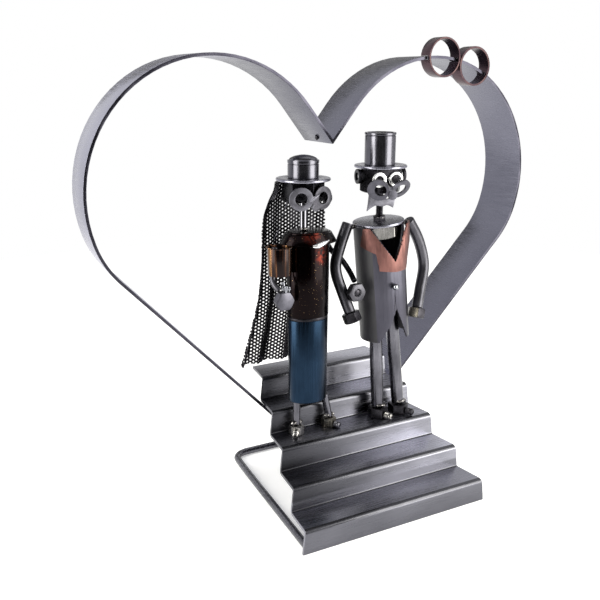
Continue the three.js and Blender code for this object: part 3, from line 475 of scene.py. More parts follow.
def makeLacquer():
    material, shader = startMaterial("brownLacquer", {
        "Metallic": 1, "Coat Weight": lacquer["coat"], "Coat Roughness": lacquer["coatRough"]})
    where = addNode(material, "TexCoord")
    cloud = addNode(material, "TexNoise", Scale=lacquer["cloudSize"], Detail=5, Distortion=1.2)
    specks = addNode(material, "TexNoise", Scale=lacquer["speckSize"], Detail=2)
    reach = addNode(material, "Math", operation="MAXIMUM")
    for number, (centre, radius) in enumerate(lacquer["redReflectionSpots"]):
        far = addNode(material, "VectorMath", operation="DISTANCE")
        far.inputs[1].default_value = centre
        near = addNode(material, "MapRange")
        setRange(near, radius, radius * 0.4, 0, 1)
        wire(where, "Object", far, 0)
        wire(far, "Value", near, "Value")
        wire(near, "Result", reach, number)
    glow = addNode(material, "Math", operation="MULTIPLY")
    brownRamp = addNode(material, "ValToRGB")
    redRamp = addNode(material, "ValToRGB")
    speckRamp = addNode(material, "ValToRGB")
    withRed = addNode(material, "Mix", data_type="RGBA")
    withGold = addNode(material, "Mix", data_type="RGBA")
    for texture in (cloud, specks):
        wire(where, "Object", texture, "Vector")
    for texture, ramp, stops, tones in (
            (cloud, brownRamp, "brownStops", (lacquer["body"], lacquer["brown"])),
            (cloud, redRamp, "redStops", ((0, 0, 0), (1, 1, 1))),
            (specks, speckRamp, "speckStops", ((0, 0, 0), (1, 1, 1)))):
        wire(texture, "Fac", ramp, "Fac")
        rampColours(ramp, zip(lacquer[stops], tones))
    wire(redRamp, "Color", glow, 0)
    wire(reach, "Value", glow, 1)
    wire(glow, "Value", withRed, "Factor")
    wire(brownRamp, "Color", withRed, "A")
    withRed.inputs["B"].default_value = (*lacquer["red"], 1)
    wire(speckRamp, "Color", withGold, "Factor")
    wire(withRed, "Result", withGold, "A")
    withGold.inputs["B"].default_value = (*lacquer["gold"], 1)
    wire(withGold, "Result", shader, "Base Color")
    addRoughness(material, shader, cloud, 0, 1, *lacquer["rough"])
    addBump(material, shader, cloud, "Coat Normal", *lacquer["bump"])
    return material


# Golden lacquer of the sleeve, with light streaks that run down it: painted reflections on its own golden-brown
# colour
goldenCoat = {
    "dark": (0.009, 0.005, 0.005), "mid": (0.085, 0.034, 0.016), "light": (0.46, 0.25, 0.11),
    "stops": (0.46, 0.57, 0.66), "reflectionStreaks": (640, 640, 14), "metallic": 0.9,
    "coat": 0.1, "coatRough": 0.06, "rough": (0.14, 0.3),
}


def makeGolden():
    material, shader = startMaterial("goldenLacquer", {
        "Metallic": goldenCoat["metallic"], "Coat Weight": goldenCoat["coat"],
        "Coat Roughness": goldenCoat["coatRough"]})
    where = addNode(material, "TexCoord")
    stretch = addNode(material, "Mapping", Scale=goldenCoat["reflectionStreaks"])
    reflectionStreaks = addNode(material, "TexNoise", Scale=1, Detail=2)
    ramp = addNode(material, "ValToRGB")
    wire(where, "Object", stretch, "Vector")
    wire(stretch, "Vector", reflectionStreaks, "Vector")
    wire(reflectionStreaks, "Fac", ramp, "Fac")
    rampColours(ramp, zip(goldenCoat["stops"], (goldenCoat["dark"], goldenCoat["mid"], goldenCoat["light"])))
    wire(ramp, "Color", shader, "Base Color")
    addRoughness(material, shader, reflectionStreaks, 0, 1, *goldenCoat["rough"])
    return material


materials["brownLacquer"] = makeLacquer()
materials["goldenLacquer"] = makeGolden()
slotOf = {name: look[0] for name, look in steels.items()}
slotOf.update(brownLacquer="lacquered_steel", goldenLacquer="golden_steel")
print("finishes made:", len(materials))


# Other finishes for the faces that point in the given directions: lighter or darker copies of a steel, painted
# light and shade on one side
def dressSides(piece, work):
    for finish, direction, nearness in work.get("second", ()):
        piece.data.materials.append(materials[finish])
        index = len(piece.data.materials) - 1
        for face in piece.data.polygons:
            if face.normal.dot(Vector(direction).normalized()) > nearness:
                face.material_index = index


def dress(piece, finish, *replaced):
    piece.data.materials.clear()
    piece.data.materials.append(materials[finish])
    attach(piece, "root")
    if replaced:
        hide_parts(*replaced)


# Last steps of a piece that was modelled in millimetres
def settle(piece, degrees, place, finish, *replaced):
    smoothByAngle(piece, degrees)
    applyPlace(piece, toMetres @ place)
    dress(piece, finish, *replaced)


# Painted shade: the front edges of the heart strips take a darker copy of their steel
barSides = (("barEdgeShade", (0, -1, 0), 0.93),)
# Painted shade: the risers and bends of the stair sheet take darker copies of its steel
stairSides = (("bendShadeSteel", (0, -0.7, 0.7), 0.75), ("riserShadeSteel", (0, -1, 0), 0.93))
# Painted shade: the jacket's faces toward the left take the darker jacketShade
jacketSides = (("jacketShade", (-1, -0.15, 0), 0.84),)
# Painted shade: the spectacles' faces toward the front right take the darker shadeSteel
lensSides = (("shadeSteel", (0.5, -0.87, 0), 0.9),)
ringWork = {"finish": "ringCopper", "second": (("ringEdge", (0, -1, 0), 0.85),), "edge": 0.25, "depth": 0.78}
# finish and edge of each sheet, other finishes by direction, share of its depth where it is shortened,
# and the least angle of a rounded edge where it isn't 50 degrees
sheetWork = {
    "stair_sheet": {"finish": "stairSteel", "second": stairSides, "edge": 0.35},
    "heart_strip_right": {"finish": "barRight", "second": barSides, "edge": 0.3},
    "heart_strip_left": {"finish": "barLeft", "second": barSides, "edge": 0.3},
    "ring_left": ringWork,
    "ring_right": ringWork,
    "groom_jacket": {"finish": "jacketSteel", "second": jacketSides, "edge": 0.28},
    "groom_collar": {"finish": "collarCopper", "edge": 0.28},
    "groom_shoulder_disc": {"finish": "brimSteel", "edge": 0.5},
    "groom_hip_disc": {"finish": "darkSteel", "edge": 0.4},
    "groom_moustache": {"finish": "faceSteel", "edge": 0.3},
    "groom_spectacles": {"finish": "maskSteel", "edge": 0.3},
    "bride_spectacles": {"finish": "faceSteel", "second": lensSides, "edge": 0.22},
    "bride_bodice": {"finish": "brownLacquer", "edge": 0.4, "angle": 40},
    "bride_shoulder_band": {"finish": "brownLacquer", "edge": 0.55},
    "bride_sleeve": {"finish": "goldenLacquer", "edge": 0.42},
    "bride_skirt": {"finish": "bluedSteel", "edge": 0.4},
    "bride_hip_disc": {"finish": "darkSteel", "edge": 0.4},
}


def finishSheet(nodeName, work):
    longSheet = nodeName in ("heart_strip_right", "heart_strip_left", "stair_sheet")
    piece = copyNode(nodeName, nodeName + "_finished", 0 if longSheet else 0.5)
    if "depth" in work:
        nearest = min(v.co.y for v in piece.data.vertices)
        takeUp(piece)
        editAll()
        bpy.ops.transform.resize(value=(1, work["depth"], 1), center_override=(0, nearest, 0))
        leaveEdit()
    applyModifier(piece, "BEVEL", width=work["edge"], segments=3, limit_method="ANGLE",
                  angle_limit=math.radians(work.get("angle", 50)), use_clamp_overlap=True)
    settle(piece, 32, atOrigin, work["finish"], nodeName)
    dressSides(piece, work)


for nodeName, work in sheetWork.items():
    finishSheet(nodeName, work)
print("sheet pieces finished:", len(sheetWork))

# Bars: the CAD bar made rounder, its cut ends kept with a small chamfer
barChamfer = 0.06  # of the diameter
barWork = {
    "floor_rod": {"finish": "rodSteel", "diameter": 5.2, "sides": 8},
    "groom_arm_right": {"finish": "armSteel", "diameter": 7.8, "sides": 10},
    "groom_arm_left": {"finish": "armSteel", "diameter": 7.8, "sides": 10},
    "groom_leg_right": {"finish": "brushedSteel", "diameter": 9.2, "sides": 14},
    "groom_leg_left": {"finish": "brushedSteel", "diameter": 9.2, "sides": 14},
    "bride_leg_right": {"finish": "brushedSteel", "diameter": 5.2, "sides": 12},
    "bride_leg_left": {"finish": "brushedSteel", "diameter": 5.2, "sides": 12},
    "bride_arm_right": {"finish": "armSteel", "diameter": 3.8, "sides": 8},
    "bride_arm_left": {"finish": "darkSteel", "diameter": 3.8, "sides": 8},
}


def finishBar(nodeName, work):
    piece = copyNode(nodeName, nodeName + "_finished", 0.2)
    applyModifier(piece, "BEVEL", width=barChamfer * work["diameter"], segments=2, limit_method="ANGLE",
                  angle_limit=math.radians(60), use_clamp_overlap=True)
    applyModifier(piece, "SUBSURF", levels=2, render_levels=2)
    editAll()
    lost = work["diameter"] / 2 * (1 - math.cos(2 * math.pi / work["sides"])) / 3
    bpy.ops.transform.shrink_fatten(value=lost)
    leaveEdit()
    settle(piece, 50, atOrigin, work["finish"], nodeName)


for nodeName, work in barWork.items():
    finishBar(nodeName, work)
print("bars finished:", len(barWork))

# finish, pitch of the thread and rounding of each nut, and length of a core over the nut's
nutWork = {
    "groom_head_nut": {"finish": "darkSteel", "pitch": 2, "round": 0.5},
    "groom_chest_nut": {"finish": "silverSteel", "pitch": 2, "round": 0.5},
    "groom_neck_nut": {"finish": "darkSteel", "pitch": 0.8, "round": 0.2},
    "groom_hand_right": {"finish": "darkSteel", "pitch": 1, "round": 0.3},
    # Painted light: the groom's left hand's facets toward the left take the lighter, beige handSteel
    "groom_hand_left": {"finish": "darkSteel", "second": (("handSteel", (-0.95, -0.3, 0), 0.6),), "pitch": 1,
                        "round": 0.3},
    "groom_shoe_right_heel": {"finish": "darkSteel", "pitch": 1.2, "round": 0.3},
    "groom_shoe_left_heel": {"finish": "darkSteel", "pitch": 1.2, "round": 0.3},
    "bride_head_nut": {"finish": "headShadeSteel", "pitch": 2, "round": 0.5},
    "bride_hand_left": {"finish": "armSteel", "pitch": 0.8, "round": 0.3, "core": 0.7},
    "bride_hand_right": {"finish": "maskSteel", "pitch": 0, "round": 0.5},
    "bride_shoe_right_heel": {"finish": "silverSteel", "pitch": 1, "round": 0.3},
    "bride_shoe_left_heel": {"finish": "handSteel", "pitch": 1, "round": 0.3},
}


# flat face and cutting tool over the corners, slope of the turned corners, lip and depth of the thread
# over its pitch, length of the lip, room round a cut, and a core's face over the bore and its press into it
nutShape = {"face": 0.84, "tool": 1.01, "slope": 30, "lip": 0.35, "thread": 0.4, "lipLength": 0.5, "room": 1,
            "coreFace": 0.7, "corePress": 0.2}


def buildNut(nodeName, work):
    place, reach, height, bore = measureRound(nodeName)
    nut = addObject(nodeName + "_finished", bpy.ops.mesh.primitive_cylinder_add, vertices=6, radius=reach,
                    depth=height)
    points = nut.data.vertices
    pick(nut, "EDGE", lambda edge: points[edge.vertices[0]].co.z * points[edge.vertices[1]].co.z < 0)
    bpy.ops.mesh.bevel(offset=work["round"], segments=3)
    leaveEdit()
    # the corners are turned off at a slope above and below
    face, around, half = reach * nutShape["face"], reach * nutShape["tool"], height / 2
    fall = (around - face) * math.tan(math.radians(nutShape["slope"]))
    barrel = turnProfile("chamferTool", [
        (0, -half), (face, -half), (around, fall - half), (around, half - fall), (face, half), (0, half),
    ], 72)
    takeAway(nut, barrel, "INTERSECT")
    if work["pitch"]:
        lip = bore + work["pitch"] * nutShape["lip"] + nutShape["room"]
        depth = work["pitch"] * nutShape["thread"]
        outside, inside = half + nutShape["room"], half - nutShape["lipLength"]
        profile = [(0, -outside), (lip, -outside), (bore, -inside)]
        profile += threadProfile(bore + depth, depth, work["pitch"], -inside, inside)
        profile += [(bore, inside), (lip, outside), (0, outside)]
        takeAway(nut, turnProfile("tapTool", profile, 48))
    settle(nut, 32, place, work["finish"], nodeName)
    dressSides(nut, work)
    if "core" in work:
        end = half * work["core"]
        inner, outer = bore * nutShape["coreFace"], bore + nutShape["corePress"]
        inside = end - nutShape["lipLength"]
        profile = [(0, -end), (inner, -end), (outer, -inside), (outer, inside), (inner, end), (0, end)]
        core = turnProfile(nodeName + "_core", profile, 32)
        settle(core, 35, place, "darkSteel")


for nodeName, work in nutWork.items():
    buildNut(nodeName, work)
print("nuts finished:", len(nutWork))


# millimetres, apart from brimSeat and brimRise, which are shares of the radius, and the dome's powers
hatWork = {
    "brimEdge": 0.75, "brimSeat": 0.6, "brimRise": 0.63, "brimStep": 0.12,
    "wallGap": 0.2, "footEdge": 0.3, "crownLip": 0.45, "lipDrop": 1.2, "crownGroove": 0.35,
    "grooveDrop": (2.3, 2.1, 1.8), "topDish": 0.6, "dishRim": (1.5, 1.9),
    "brideCrown": 11.3, "brideGroove": (2.6, 2.4, 2.1, 1.9), "brideGrooveDepth": 0.4,
    "shoulder": (0.4, 0.15, 0.05), "domeFoot": 0.9, "domeSide": 1.15, "domeTop": 1.1, "domeSteps": 12,
    "steps": 96,
}


# Turn a profile and stand it where its CAD node stands
def placeTurned(nodeName, profile, steps, finish):
    piece = turnProfile(nodeName + "_finished", profile, steps)
    low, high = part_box(nodeName)
    foot = Vector(((low.x + high.x) / 2, (low.y + high.y) / 2, low.z)) * 1000
    settle(piece, 38, Matrix.Translation(foot), finish, nodeName)


def buildBrim(nodeName):
    radius, height = measureRound(nodeName)[1:3]
    edge, seat = hatWork["brimEdge"], radius * hatWork["brimSeat"]
    step = height - hatWork["brimStep"]
    profile = [(0, 0), (seat, 0)]
    profile += roundCorner(radius - edge, edge, edge, -90, 0)
    profile += roundCorner(radius - edge, height - edge, edge, 0, 90)
    profile += [(radius * hatWork["brimRise"], height), (seat, step), (0, step)]
    placeTurned(nodeName, profile, hatWork["steps"], "brimSteel")


def buildGroomCrown():
    nodeName = "groom_hat_crown"
    radius, top = measureRound(nodeName)[1:3]
    wall, lip, foot = radius - hatWork["wallGap"], hatWork["crownLip"], hatWork["footEdge"]
    groove, dish = wall - hatWork["crownGroove"], top - hatWork["topDish"]
    low, middle, high = (top - drop for drop in hatWork["grooveDrop"])
    outer, inner = (radius - rim for rim in hatWork["dishRim"])
    profile = [(0, 0), (wall - foot, 0), (wall, foot), (wall, low), (groove, middle), (groove, high)]
    profile += roundCorner(radius - lip, top - hatWork["lipDrop"], lip, -60, 0, 3)
    profile += roundCorner(radius - lip, top - lip, lip, 0, 90)
    profile += [(outer, top), (inner, dish), (0, dish)]
    placeTurned(nodeName, profile, hatWork["steps"], "crownSteel")


def buildBrideCrown():
    nodeName = "bride_hat_crown"
    radius, height = measureRound(nodeName)[1:3]
    top, foot, steps = hatWork["brideCrown"], hatWork["footEdge"], hatWork["domeSteps"]
    wall, side, dome = radius - hatWork["wallGap"], radius - hatWork["domeFoot"], height - top
    groove = wall - hatWork["brideGrooveDepth"]
    z1, z2, z3, z4 = (top - drop for drop in hatWork["brideGroove"])
    down, inward, up = hatWork["shoulder"]
    profile = [(0, 0), (wall - foot, 0), (wall, foot), (wall, z1), (groove, z2), (groove, z3), (wall, z4)]
    profile += [(radius, top - down), (radius - inward, top), (side, top + up)]
    for i in range(1, steps + 1):
        angle = math.radians(90 * i / steps)
        profile.append((side * math.cos(angle) ** hatWork["domeSide"],
                        top + dome * math.sin(angle) ** hatWork["domeTop"]))
    placeTurned(nodeName, profile, hatWork["steps"], "crownSteel")


for nodeName in ("groom_hat_brim", "bride_hat_brim"):
    buildBrim(nodeName)
buildGroomCrown()
buildBrideCrown()

washerWork = {
    "groom_eye_right": "eyeWhite", "groom_eye_left": "eyeWhite",
    "bride_eye_right": "headShadeSteel", "bride_eye_left": "headShadeSteel",
    "groom_ear_right": "darkSteel", "groom_ear_left": "darkSteel",
}
washerEdge = 0.25  # rounding of a washer's edges
washerShare = 0.3  # of its height at most


def buildWasher(nodeName, finish):
    place, radius, height, bore = measureRound(nodeName)
    edge = min(washerEdge, height * washerShare)
    half = height / 2
    profile = roundCorner(bore + edge, edge - half, edge, 180, 270, 4)
    profile += roundCorner(radius - edge, edge - half, edge, -90, 0, 4)
    profile += roundCorner(radius - edge, half - edge, edge, 0, 90, 4)
    profile += roundCorner(bore + edge, half - edge, edge, 90, 180, 4)
    profile.append(profile[0])
    piece = turnProfile(nodeName + "_finished", profile, 64)
    settle(piece, 40, place, finish, nodeName)


for nodeName, finish in washerWork.items():
    buildWasher(nodeName, finish)

boltWork = {
    "groom_neck_bolt": {"finish": "darkSteel", "threadTo": 0.3},
    "bride_neck_bolt": {"finish": "neckSteel", "threadTo": 0},
}
# cut at the foot, depth and pitch of the thread, neck above it, and cut at the top inwards and down
boltShape = {"foot": 0.3, "thread": 0.35, "pitch": 0.8, "neck": 0.05, "top": (0.4, 0.5)}


def buildBolt(nodeName, work):
    radius, height = measureUpright(nodeName)
    threadTop, foot = height * work["threadTo"], boltShape["foot"]
    inward, down = boltShape["top"]
    if threadTop:
        profile = [(0, 0), (radius - inward, 0)]
        profile += threadProfile(radius, boltShape["thread"], boltShape["pitch"], foot, threadTop)
        profile.append((radius - boltShape["neck"], threadTop + down))
    else:
        profile = [(0, 0), (radius - foot, 0), (radius, foot)]
    profile += [(radius, height - down), (radius - inward, height), (0, height)]
    placeTurned(nodeName, profile, 40, work["finish"])


for nodeName, work in boltWork.items():
    buildBolt(nodeName, work)

# finish of each toe and radius of its socket
toeWork = {
    "groom_shoe_right_toe": {"finish": "silverSteel", "socket": 1.1},
    "groom_shoe_left_toe": {"finish": "darkSteel", "socket": 1.1},
    "bride_shoe_right_toe": {"finish": "silverSteel", "socket": 1.2},
    "bride_shoe_left_toe": {"finish": "brushedSteel", "socket": 0.9},
}
# over the radius: depth of the thread, length without it, rounding of the end and what it leaves flat;
# where the thread starts and stops, its pitch, and mouth, floor and depth of the socket
toeShape = {"thread": 0.13, "smooth": 0.9, "round": 0.65, "flat": 0.35, "start": 0.4, "stop": 0.2, "pitch": 0.8,
            "mouth": 0.8, "floor": 0.7, "depth": 0.9}


# Threaded toe pin with a domed end and a round socket in it
def buildToe(nodeName, work):
    place, radius, height = measureRound(nodeName)[:3]
    half = height / 2
    start = -(half - radius * toeShape["smooth"]) * toeShape["start"]
    thread = threadProfile(radius, radius * toeShape["thread"], toeShape["pitch"], start,
                           half - toeShape["stop"])
    profile = [(0, half), *reversed(thread)]
    bend, pit, socket = radius * toeShape["round"], toeShape["depth"] - half, work["socket"]
    profile += roundCorner(radius * toeShape["flat"], bend - half, bend, 0, -90, 6)
    profile += [(socket * toeShape["mouth"], -half), (socket * toeShape["floor"], pit), (0, pit)]
    piece = turnProfile(nodeName + "_finished", profile, 36)
    settle(piece, 35, place, work["finish"], nodeName)


for nodeName, work in toeWork.items():
    buildToe(nodeName, work)


# each point's radius over the nut's and its height over the stem's, then the dome and its flat top
flowerStem = [(0, 0), (0.55, 0), (0.55, 0.45), (0.95, 0.5), (1, 0.6), (1, 0.9), (0.8, 1)]
flowerShape = {"dome": 0.8, "flat": 0.15}


# Small cap nut: a collar with a dome on it
def buildFlower(nodeName):
    radius, height = measureUpright(nodeName)
    stem = height - radius
    profile = [(radius * r, stem * z) for r, z in flowerStem]
    profile += roundCorner(0, stem, radius * flowerShape["dome"], 10, 85, 5)
    profile.append((0, height - radius * flowerShape["flat"]))
    placeTurned(nodeName, profile, 32, "chromeSteel")


for number in (1, 2, 3):
    buildFlower(f"bride_flower_{number}")


buttonWork = {"pitRadius": 0.8, "pitDepth": 0.8, "rimRadius": 1, "rimShare": 0.9, "turn": 75}


def buildButton():
    nodeName = "groom_button"
    low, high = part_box(nodeName)
    radius = (high.x - low.x) * 500
    profile = roundCorner(0, 0, radius, 90, -90, 14)
    profile[-1] = (0, -radius)
    pitZ = radius - buttonWork["pitDepth"]
    rim = (buttonWork["rimRadius"], radius * buttonWork["rimShare"])
    profile = [(0, pitZ), (buttonWork["pitRadius"], pitZ), rim] + profile[3:]
    piece = turnProfile(nodeName + "_finished", profile, 32)
    turned = Matrix.Rotation(math.radians(buttonWork["turn"]), 4, "X")
    settle(piece, 40, Matrix.Translation((low + high) * 500) @ turned, "chromeSteel", nodeName)


buildButton()
print("turned pieces finished")


# rails give x, y and drop below the brim of the sheet's right edge, left edge and back
veil = {
    "pitch": 2.5, "hole": 1.32, "sheet": 0.8, "pleats": 5, "pleatDepth": 2.2,
    "columns": 54, "pairs": 24, "rowSteps": 240, "rowsPerMm": 4, "length": 130, "drops": (0.9, 129.4),
    "start": 1.2, "margin": 0.3, "outward": 0.5, "rise": 0.3, "headX": -38.17, "headY": -7.35,
    "right": [(16.3, 4, 0.3), (18, 8, 7), (20, 11, 14), (24.6, 13.5, 27), (25.6, 15.5, 57), (26.2, 18, 85),
              (28.5, 21, 130)],
    "left": [(-16.3, 4, 0.3), (-16, 8, 7), (-18.4, 11, 14), (-21.4, 14, 27), (-22.6, 16.5, 57),
             (-25.4, 19, 85), (-36.8, 22, 130)],
    "back": [(0, 16.4, 0.3), (0.4, 18.5, 7), (0.7, 20, 14), (1, 22, 27), (0, 23.5, 57), (-2, 25, 85),
             (-5, 27, 130)],
}


# Smooth line through the rail's points at a drop below the brim
def railAt(points, drop):
    last = len(points) - 1
    i = 0
    while i < last - 1 and points[i + 1][2] < drop:
        i += 1
    p1, p2 = points[i], points[i + 1]
    p0 = points[i - 1] if i else None
    p3 = points[i + 2] if i + 2 <= last else None
    span = p2[2] - p1[2]
    t = (drop - p1[2]) / span
    result = []
    for axis in (0, 1):
        chord = (p2[axis] - p1[axis]) / span
        m1 = (p2[axis] - p0[axis]) / (p2[2] - p0[2]) if p0 else chord
        m2 = (p3[axis] - p1[axis]) / (p3[2] - p1[2]) if p3 else chord
        h00, h10 = 2 * t ** 3 - 3 * t ** 2 + 1, t ** 3 - 2 * t ** 2 + t
        h01, h11 = 3 * t ** 2 - 2 * t ** 3, t ** 3 - t ** 2
        result.append(h00 * p1[axis] + h10 * span * m1 + h01 * p2[axis] + h11 * span * m2)
    return result


# Points of the pleated sheet across the veil, at a drop below the brim
def veilRow(drop):
    right, left, back = (railAt(veil[side], drop) for side in ("right", "left", "back"))
    v = min(1, max(0, drop / veil["length"]))
    row = []
    for i in range(veil["rowSteps"] + 1):
        t = i / veil["rowSteps"]
        x = (right[0] + left[0]) / 2 + (right[0] - left[0]) / 2 * math.cos(math.pi * t)
        edgeY = right[1] + (left[1] - right[1]) * t
        pleat = veil["pleatDepth"] * v * math.cos(2 * math.pi * veil["pleats"] * t)
        y = edgeY + (back[1] - edgeY) * math.sin(math.pi * t) + pleat
        row.append((x, y))
    return row


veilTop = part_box("bride_veil")[1].z * 1000 + veil["rise"]


# Place of a point on the veil or in front of it, in millimetres
def veilSpot(x, y, drop, ahead=0):
    return veil["headX"] + x, veil["headY"] + y - ahead, veilTop - drop


def repeatCells(sheet, count, step):
    applyModifier(sheet, "ARRAY", count=count, use_relative_offset=False, use_constant_offset=True,
                  constant_offset_displace=step, use_merge_vertices=True, merge_threshold=0.01)


def buildVeil():
    pitch, columns, pairs = veil["pitch"], veil["columns"], veil["pairs"]
    # one cell: a hexagon with its corners and edge middles, inset to a round hole
    sheet = addObject("veil_mesh", bpy.ops.mesh.primitive_circle_add, vertices=12,
                      radius=pitch / math.sqrt(3), fill_type="NGON")
    for i, vertex in enumerate(sheet.data.vertices):
        if i % 2:
            vertex.co *= math.cos(math.pi / 6)
    editAll()
    bpy.ops.mesh.inset(thickness=0.1)
    leaveEdit()
    inner = [v for v in sheet.data.vertices if v.index >= 12]
    for vertex in inner:
        vertex.co = vertex.co.normalized() * (veil["hole"] / 2)
    pick(sheet, "FACE", lambda face: len(face.vertices) == 12)
    bpy.ops.mesh.delete(type="FACE")
    leaveEdit()
    # corners point along y, so the cells join side by side along x, which later runs down the veil
    rowStep = pitch * math.sqrt(3) / 2
    repeatCells(sheet, columns, (pitch, 0, 0))
    takeUp(sheet)
    bpy.ops.object.duplicate()
    second = bpy.context.object
    applyPlace(second, Matrix.Translation((pitch / 2, rowStep, 0)))
    takeUp(sheet)
    second.select_set(True)
    bpy.ops.object.join()
    repeatCells(sheet, pairs, (0, 2 * rowStep, 0))
    editAll()
    bpy.ops.mesh.remove_doubles(threshold=0.02)
    leaveEdit()
    width = (2 * pairs - 1) * rowStep
    # each point goes to its distance along the row, counted from the fold at the back
    rows, kept = {}, []
    for vertex in sheet.data.vertices:
        along, drop = vertex.co.y - width / 2, vertex.co.x + veil["start"]
        kept.append(False)
        if not veil["drops"][0] <= drop <= veil["drops"][1]:
            continue
        key = round(drop * veil["rowsPerMm"])
        if key not in rows:
            row = veilRow(key / veil["rowsPerMm"])
            lengths = [0]
            for a, b in zip(row, row[1:]):
                lengths.append(lengths[-1] + math.dist(a, b))
            rows[key] = (row, lengths)
        row, lengths = rows[key]
        at = lengths[-1] / 2 + along
        if not veil["margin"] <= at <= lengths[-1] - veil["margin"]:
            continue
        i = min(len(row) - 2, next((n for n, d in enumerate(lengths) if d > at), 1) - 1)
        share = (at - lengths[i]) / (lengths[i + 1] - lengths[i])
        (xa, ya), (xb, yb) = row[i], row[i + 1]
        out = veil["outward"] / math.dist(row[i], row[i + 1])
        vertex.co = veilSpot(xa + (xb - xa) * share + (yb - ya) * out,
                             ya + (yb - ya) * share + (xa - xb) * out, drop)
        kept[-1] = True
    pick(sheet, "VERT", lambda vertex: not kept[vertex.index])
    bpy.ops.mesh.delete(type="VERT")
    bpy.ops.mesh.select_all(action="SELECT")
    bpy.ops.mesh.normals_make_consistent(inside=False)
    leaveEdit()
    applyModifier(sheet, "SOLIDIFY", thickness=veil["sheet"], offset=0)
    settle(sheet, 50, atOrigin, "veilSteel", "bride_veil")
    print("veil finished, faces:", len(sheet.data.polygons))


buildVeil()

trimWork = {
    "glintPoints": [(-39.5, -22.4, 185.6), (-36, -22.6, 185.7), (-31.6, -21.9, 186.6), (-27, -20.2, 187.8),
                  (-23.5, -17.9, 188.8)],
    "glintRadii": [1.1, 1.9, 1.6, 1.1, 0.5], "rimPoints": 24, "rimWaves": 7, "rimWave": 0.35, "rimRadius": 0.5,
    "rimInset": 0.1, "rimDrop": 0.2,
    "foldPoints": [(0.533, 15), (0.575, 25), (0.617, 35), (0.69, 41)], "foldRadius": 0.32, "foldAhead": 0.6,
    "strapShare": (0.74, 0.15), "strapDrop": (1.5, 12), "strapAhead": 0.75, "strapSheet": 0.5,
}


# Painted highlight along the band's hem as a white tapered rod, wavy rim of the sleeve, and fold and strap at
# the edge of the veil
def buildTrims():
    # Painted highlight: a white rod where a lamp's reflection lies on the band's lower edge
    makeRod("bride_band_hem_highlight", "eyeWhite", trimWork["glintPoints"], trimWork["glintRadii"])
    low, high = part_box("bride_sleeve")
    centre = (low + high) * 500
    points = []
    for i in range(trimWork["rimPoints"]):
        angle = 2 * math.pi * i / trimWork["rimPoints"]
        wave = trimWork["rimWave"] * math.sin(trimWork["rimWaves"] * angle)
        radius = (high.x - low.x) * 500 - trimWork["rimInset"] + wave
        points.append((centre.x + radius * math.cos(angle), centre.y + radius * math.sin(angle),
                       high.z * 1000 - trimWork["rimDrop"] + wave))
    makeRod("bride_sleeve_rim", "goldenLacquer", points, [trimWork["rimRadius"]] * len(points), closed=True)
    places = [veilSpot(*veilRow(drop)[round(share * veil["rowSteps"])], drop, trimWork["foldAhead"])
              for share, drop in trimWork["foldPoints"]]
    makeRod("bride_veil_fold", "brimSteel", places, [trimWork["foldRadius"]] * len(places))
    strap = addObject("bride_veil_strap", bpy.ops.mesh.primitive_grid_add, x_subdivisions=10,
                      y_subdivisions=10, size=1)
    for vertex in strap.data.vertices:
        share = trimWork["strapShare"][0] + trimWork["strapShare"][1] * (vertex.co.x + 0.5)
        drop = trimWork["strapDrop"][0] + trimWork["strapDrop"][1] * (vertex.co.y + 0.5)
        x, y = veilRow(drop)[round(share * veil["rowSteps"])]
        vertex.co = veilSpot(x, y, drop, trimWork["strapAhead"])
    applyModifier(strap, "SOLIDIFY", thickness=trimWork["strapSheet"], offset=0)
    takeUp(strap)
    editAll()
    bpy.ops.mesh.normals_make_consistent(inside=False)
    leaveEdit()
    settle(strap, 50, atOrigin, "strapSteel")


buildTrims()


# Middle of a node's uppermost or lowest points, in millimetres
def endSpot(nodeName, upper=True):
    heights = [v.co.z for v in nodes[nodeName].data.vertices]
    limit = max(heights) - 0.003 if upper else min(heights) + 0.003
    spots = [v.co for v in nodes[nodeName].data.vertices if (v.co.z > limit) == upper]
    return sum(spots, Vector()) * 1000 / len(spots)


# node, end, shift and size of each lump of weld
weldWork = [
    ("groom_arm_right", True, (3, -1, -2.5), (2.2, 2, 1.8)),
    ("groom_arm_right", True, (5, -2.5, -1), (1.3, 1.3, 1.1)),
    ("groom_arm_left", True, (-3, 0, -2), (2, 2, 1.8)),
    ("bride_arm_left", True, (-1, -0.5, -1), (2, 1.8, 1.6)),
    ("groom_leg_right", False, (1, -2, 1.5), (4.4, 4, 1.7)),
    ("groom_leg_left", False, (1, -2, 1.5), (4.4, 4, 1.7)),
    ("bride_leg_right", False, (-2.5, -0.5, 1.6), (2.2, 2.6, 1.6)),
    ("bride_leg_right", False, (2.4, 0, 1.5), (2, 2.2, 1.5)),
    ("bride_leg_left", False, (-2, -1, 1.5), (2.4, 2.2, 1.5)),
    ("bride_leg_left", False, (2.6, 0, 1.4), (2, 2, 1.3)),
    ("bride_neck_bolt", False, (0, -1.5, 1.2), (3.4, 2.6, 1)),
    ("groom_neck_bolt", False, (0, -1, 1.4), (3.6, 3.4, 1.1)),
]


def buildWelds():
    for number, (nodeName, upper, shift, size) in enumerate(weldWork, 1):
        makeLump(f"weld_lump_{number}", "weldSteel", endSpot(nodeName, upper) + Vector(shift), size, number)


buildWelds()
# dark lumps: centre, size and seed
darkLumps = {
    "weld_lump_notch": ((-4.1, 35.2, 249.5), (1.6, 1.6, 2), 41),
    "bride_head_side": ((-24.9, -14.5, 215.2), (3.6, 3, 5.6), 40),
}
for name, work in darkLumps.items():
    makeLump(name, "darkSteel", *work)
print("trims and welds finished:", len(weldWork))


floorLook = {"radius": 0.9, "drop": 0.0002, "colour": (0.9, 0.9, 0.9), "rough": 0.9, "glow": 0.4}


